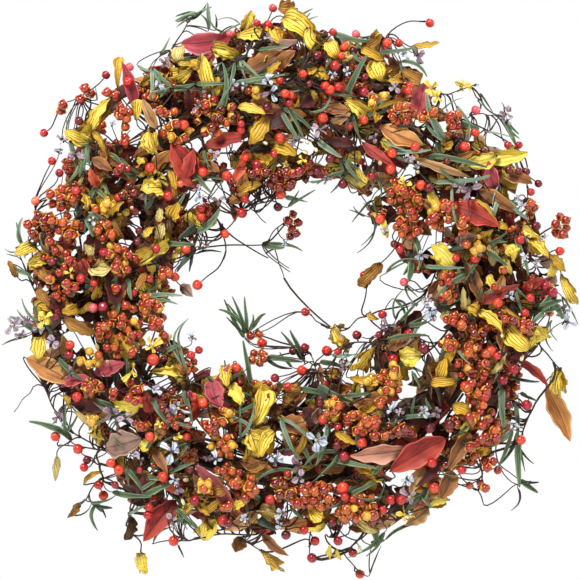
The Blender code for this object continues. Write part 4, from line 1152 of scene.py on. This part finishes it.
# Everything else, higher up.
for x, y in ground(10.0, 14, 3):
    far = front(x, y)
    share = rng.random()
    if share < 0.28:
        d = far * rng.uniform(0.35, 0.85)
        cluster(x, y, 8, 7, rng.integers(2, 6), pick("r", "ro", "ro", "d", "od", "oy", "o", "c", "m"), d, size=4.2, solid=True, spread=0.008)
    elif share < 0.53:
        d = far * rng.uniform(0.35, 0.90)
        x0, y0, x1, y1 = along_ring(x, y, 0.8, 14, 26)
        stalk_leaf(x0, y0, x1, y1, rng.uniform(8, 14), "husk_" + pick("b", "g", "g", "y", "y", "y", "p", "c"), "leaf_spray",
                   d, min(d + rng.normal() * 0.008, far * 0.92), pick("husk", "fan"),
                   rows=9, cols=10, bow=rng.uniform(0, 0.2), cup=rng.uniform(0.2, 0.7), twist=rng.normal() * 0.6, ripple=0.14, tilt=rng.normal() * 0.6, crumple=0.10)
    elif share < 0.64:
        d = far * rng.uniform(0.35, 0.90)
        x0, y0, x1, y1 = along_ring(x, y, 0.8, 18, 34)
        stalk_leaf(x0, y0, x1, y1, rng.uniform(9, 16), "leaf_" + pick("M", "B", "B", "R", "O", "K", "K", "T", "Q", "U"), "leaf_spray",
                   d, min(d + rng.normal() * 0.010, far * 0.9), "leaf",
                   rows=10, cols=10, bow=rng.uniform(0, 0.15), cup=rng.uniform(0.2, 0.6), twist=rng.normal() * 0.6, ripple=0.14, tilt=rng.normal() * 0.7, crumple=0.04)
    elif share < 0.87:
        d = far * rng.uniform(0.45, 1.0)
        x0, y0, x1, y1 = along_ring(x, y, 0.8, 18, 36)
        stalk_leaf(x0, y0, x1, y1, rng.uniform(3, 6), "blade_" + pick("k", "g", "g", "w"), "greenery_spray",
                   d, min(d + rng.normal() * 0.010, far), "blade", stalk="twig_grey", thick=0.0005,
                   rows=9, cols=6, bow=rng.uniform(0, 0.15), bend=rng.normal() * 0.08, cup=0.4, twist=rng.normal() * 0.8, tilt=rng.normal() * 0.8)
    elif share < 0.94:
        point = clear(place(x, y, far * rng.uniform(0.4, 0.92)), 4.5 * U, 0.008)
        i, head = branch(point, "berry_spray", 0.0006, "twig", stop=0.0038)
        add_balls(bunches[i], point, rng.uniform(3.8, 5.0) * U, head, BERRY[pick("d", "d", "r", "c", "r", "o")], fine=False)
    else:
        x0, y0, x1, y1 = along_ring(x, y, 0.5, 26, 50)
        p, q = place(x0, y0, far * rng.uniform(0.5, 0.95)), place(x1, y1, far * rng.uniform(0.6, 0.95))
        along = unit(q - p)
        i, _ = branch(p, "berry_spray", 0.0007, "twig", heading=along)
        u = np.linspace(0, 1, 9)[:, None]
        path = p + (q - p) * u + np.array([along[2], -0.4, -along[0]]) * rng.normal() * 0.003 * np.sin(math.pi * u)
        add_tubes(bunches[i], kinked(path, 0.0008)[None], np.linspace(0.0007, 0.00045, 9), pick("twig", "twig", "twig_grey"), 5)

# Long thin twigs lie over all of it.
for _ in range(85):
    a, share = rng.uniform(0, 6.283), rng.uniform(0.1, 0.95)
    far, near = reach_at(290 + 100 * math.cos(a), 287 - 100 * math.sin(a))
    rho = near + (far - near) * share
    x0, y0, x1, y1 = along_ring(290 + rho * math.cos(a), 287 - rho * math.sin(a), 0.5, 34, 70)
    lift = rng.uniform(-0.004, 0.005, 2)
    p, q = place(x0, y0, front(x0, y0) - 0.006 + lift[0]), place(x1, y1, front(x1, y1) + lift[1])
    along = unit(q - p)
    i, _ = branch(p, "berry_spray", 0.0007, "twig", heading=along)
    u = np.linspace(0, 1, 14)[:, None]
    path = p + (q - p) * u + np.array([along[2], 0, -along[0]]) * rng.normal() * 0.004 * np.sin(math.pi * u)
    path[:, 1] -= 0.5 * (front(290, 287 - rho) - front(x0, y0)) * np.sin(math.pi * u[:, 0])
    add_tubes(bunches[i], kinked(path, 0.0014)[None], np.linspace(rng.uniform(0.0006, 0.0010), 0.00045, 14), pick("twig", "twig", "twig_grey"), 5)

# ---------------------------------------------------------------- the pieces
for (node, kind, pts, _), bunch in zip(SPRAYS, bunches):
    look = "twig_grey" if kind == "greenery_spray" else "twig"
    add_tubes(bunch, pts[None], np.linspace(0.00135, 0.0008, len(pts)), look, 7)
    piece = bunch.build(node + "_foliage")
    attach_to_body(piece, ROOT)
    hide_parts(node)


def loop_piece(name, node, path, radius, look, sides, body, knobs=0.0, closed=True, extra=None):
    """A tube on a closed or an open path."""
    bunch = Bunch()
    n = len(path)
    if closed:
        along = unit(np.roll(path, -1, axis=0) - np.roll(path, 1, axis=0))
    else:
        along = unit(np.gradient(path, axis=0))
    mid = path.mean(axis=0)
    hint = unit(path - mid) if closed else np.broadcast_to([0.3, 0.2, 0.9], path.shape)
    side = unit(np.cross(along, hint))
    normal = np.cross(side, along)
    a = 2 * np.pi * np.arange(sides) / sides
    step = np.linalg.norm(np.diff(path, axis=0), axis=-1)
    length = np.concatenate([[0], np.cumsum(step)]) / 0.01
    r = np.full((n, sides), radius)
    if knobs:
        # Bark: long ribs, with a thicker place every few centimetres.
        ph = rng.uniform(0, 6.28, 6)
        g = np.linspace(0, 2 * np.pi, n, endpoint=False)[:, None]
        rib = 0.35 * np.sin(3 * a[None] + ph[0] + 3 * np.sin(2 * g)) + 0.3 * np.sin(5 * a[None] + ph[1] - 4 * g)
        knot = sum(np.exp(-((np.angle(np.exp(1j * (g - c))) / 0.018) ** 2)) for c in rng.uniform(0, 6.28, 22))
        grain = np.repeat(rng.normal(size=(n, 1)), sides, axis=1) * 0.12 + rng.normal(size=(n, sides)) * 0.18
        r = radius * (1 + knobs * (0.35 * rib + 0.8 * np.clip(knot, 0, 1.2) + grain) - knobs * 0.2)
    P = path[:, None] + r[..., None] * (side[:, None] * np.cos(a)[:, None] + normal[:, None] * np.sin(a)[:, None])
    tpl = np.stack(np.broadcast_arrays(np.cos(a)[None], np.sin(a)[None], length[:, None]), -1)
    if closed:
        bunch.add(P[None], tpl, look, closed=True)
    else:
        bunch.add(P[None], tpl, look, (path[:1], path[-1:]), ((0, 0, 0), (0, 0, length[-1])))
    if extra is not None:
        extra(bunch)
    piece = bunch.build(name)
    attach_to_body(piece, body)
    if node:
        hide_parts(node)
    return piece


g = np.linspace(0, 2 * np.pi, 420, endpoint=False)
for k in range(5):
    loop_piece(f"vine_strand_{k + 1}_bark", f"vine_strand_{k + 1}", on_ring(g, 0.009, 4 * g + 2 * np.pi * k / 5), 0.0046, "vine", 12, ROOT, 0.12)
g = np.linspace(0, 2 * np.pi, 620, endpoint=False)
loop_piece("wrapping_vine_bark", "wrapping_vine", on_ring(g, 0.0170, 10 * g - np.pi / 2), 0.0017, "vine", 8, ROOT, 0.12)
for k in range(TIES):
    t = np.linspace(0, 2 * np.pi, 64, endpoint=False)
    radius = 0.0184 + 0.0036 * np.clip(np.cos(t + np.pi / 2), 0, None) ** 3
    loop_piece(f"tie_wire_{k + 1:02d}_wire", f"tie_wire_{k + 1:02d}", on_ring(2 * np.pi * k / 10, radius, t), 0.00062, "wire", 8, ROOT)

t = np.linspace(0, 2 * np.pi, 72, endpoint=False)
eye_c = np.array([0.0, 0.0, -0.024])


def eye(bunch):
    a = np.linspace(0, 2 * np.pi, 40, endpoint=False)
    path = eye_c + 0.0031 * np.stack([np.zeros_like(a), np.cos(a), np.sin(a)], -1)
    out = unit(path - eye_c)
    b = 2 * np.pi * np.arange(10) / 10
    P = path[:, None] + 0.0009 * (out[:, None] * np.cos(b)[:, None] + np.array([1.0, 0, 0]) * np.sin(b)[:, None])
    tpl = np.stack(np.broadcast_arrays(np.cos(b)[None], np.sin(b)[None], (a * 0.31)[:, None]), -1)
    bunch.add(P[None], tpl, "wire", closed=True)


staple = on_ring(np.pi / 2, 0.0158 + 0.0052 * np.clip(np.cos(t - np.pi / 2), 0, None) ** 3, t)
loop_piece("hanger_staple_wire", "hanger_staple", staple, 0.0009, "wire", 10, ROOT, extra=eye)

half, corner = 0.008, 0.0025
outline = [(half * math.cos(a), 0.001 - half + half * math.sin(a)) for a in np.linspace(0, math.pi, 25)]
for start, x, z in ((math.pi, -1, -0.024 + corner), (1.5 * math.pi, 1, -0.024 + corner)):
    outline += [(x * (half - corner) + corner * math.cos(start + a), z + corner * math.sin(start + a)) for a in np.linspace(0, math.pi / 2, 7)]
# The straight runs get points of their own, so that the rings keep their spacing.
dense = []
for a, b in zip(outline, outline[1:] + outline[:1]):
    many = max(1, int(math.hypot(b[0] - a[0], b[1] - a[1]) / 0.0012))
    dense += [(a[0] + (b[0] - a[0]) * s / many, a[1] + (b[1] - a[1]) * s / many) for s in range(many)]
path = np.array([(x, 0.0, z) for x, z in dense])
loop_piece("hanging_loop_wire", "hanging_loop", path, 0.001, "wire", 12, LOOP)

# --------------------------------------------------------------------- the set
def pale(name, colour, rough):
    g = Graph(name)
    co = g.node("ShaderNodeTexCoord").outputs["Object"]
    n = g.noise(co, 6.0, 3.0)
    c = g.mix(g.span(n, 0.3, 0.7), colour, tuple(v * 0.985 for v in colour))
    return g.finish(c, rough)


floor_mesh = bpy.data.meshes.new("floor")
ring = [(3.0 * math.cos(2 * math.pi * k / 96), 3.0 * math.sin(2 * math.pi * k / 96), 0.0) for k in range(96)]
floor_mesh.from_pydata(ring, [], [list(range(96))])
floor = bpy.data.objects.new("floor", floor_mesh)
floor.location = (0.0, 0.0, CAD_BOX[0][2] - 0.22)
floor_mesh.materials.append(pale("floor_pale", (0.95, 0.95, 0.94), 0.8))
bpy.context.scene.collection.objects.link(floor)

camera = bpy.data.cameras.new("camera")
camera.sensor_width = 36.0
camera.lens = 36.0 * (REF_Y - CAM_Y) / (580 * U)
camera.clip_start = 0.1
camera.clip_end = 50
view = bpy.data.objects.new("camera", camera)
view.location = (0.0, CAM_Y, CENTRE[2] - 3 * U)
view.rotation_euler = (math.pi / 2, 0, 0)
bpy.context.scene.collection.objects.link(view)
bpy.context.scene.camera = view


def area(name, place_at, aim, size, power, colour=(1, 1, 1)):
    data = bpy.data.lights.new(name, "AREA")
    data.shape = "DISK"
    data.size = size
    data.energy = power
    data.color = colour
    obj = bpy.data.objects.new(name, data)
    obj.location = place_at
    d = np.array(aim, float) - np.array(place_at, float)
    from mathutils import Vector
    obj.rotation_euler = Vector(d).to_track_quat("-Z", "Y").to_euler()
    bpy.context.scene.collection.objects.link(obj)
    return obj


mid = (0.0, float(CENTRE[1]), float(CENTRE[2]))
area("key", (-0.8, -1.6, 1.2), mid, 0.55, 56)
area("fill", (1.5, -1.6, 0.2), mid, 1.0, 10)
area("top", (0.3, -0.5, 1.7), mid, 0.7, 16)
area("back", (0.8, 1.9, 0.9), mid, 1.4, 34)
area("side", (-1.9, 0.5, 0.4), mid, 1.2, 17)
area("side_right", (1.9, 0.2, 0.3), mid, 1.2, 14)
area("under", (-0.2, -1.2, -1.2), mid, 0.9, 3)

world = bpy.data.worlds.new("studio")
world.use_nodes = True
nt = world.node_tree
nt.nodes.clear()
out = nt.nodes.new("ShaderNodeOutputWorld")
mixer = nt.nodes.new("ShaderNodeMixShader")
path_node = nt.nodes.new("ShaderNodeLightPath")
seen_bg = nt.nodes.new("ShaderNodeBackground")
lit_bg = nt.nodes.new("ShaderNodeBackground")
seen_bg.inputs["Color"].default_value = (1, 1, 1, 1)
seen_bg.inputs["Strength"].default_value = 1.0
lit_bg.inputs["Color"].default_value = (1, 1, 1, 1)
lit_bg.inputs["Strength"].default_value = 0.085
nt.links.new(path_node.outputs["Is Camera Ray"], mixer.inputs[0])
nt.links.new(lit_bg.outputs[0], mixer.inputs[1])
nt.links.new(seen_bg.outputs[0], mixer.inputs[2])
nt.links.new(mixer.outputs[0], out.inputs[0])
bpy.context.scene.world = world
bpy.context.scene.view_settings.view_transform = "Standard"
bpy.context.scene.view_settings.look = "None"
bpy.context.scene.view_settings.exposure = 0.0
bpy.context.scene.view_settings.gamma = 1.0
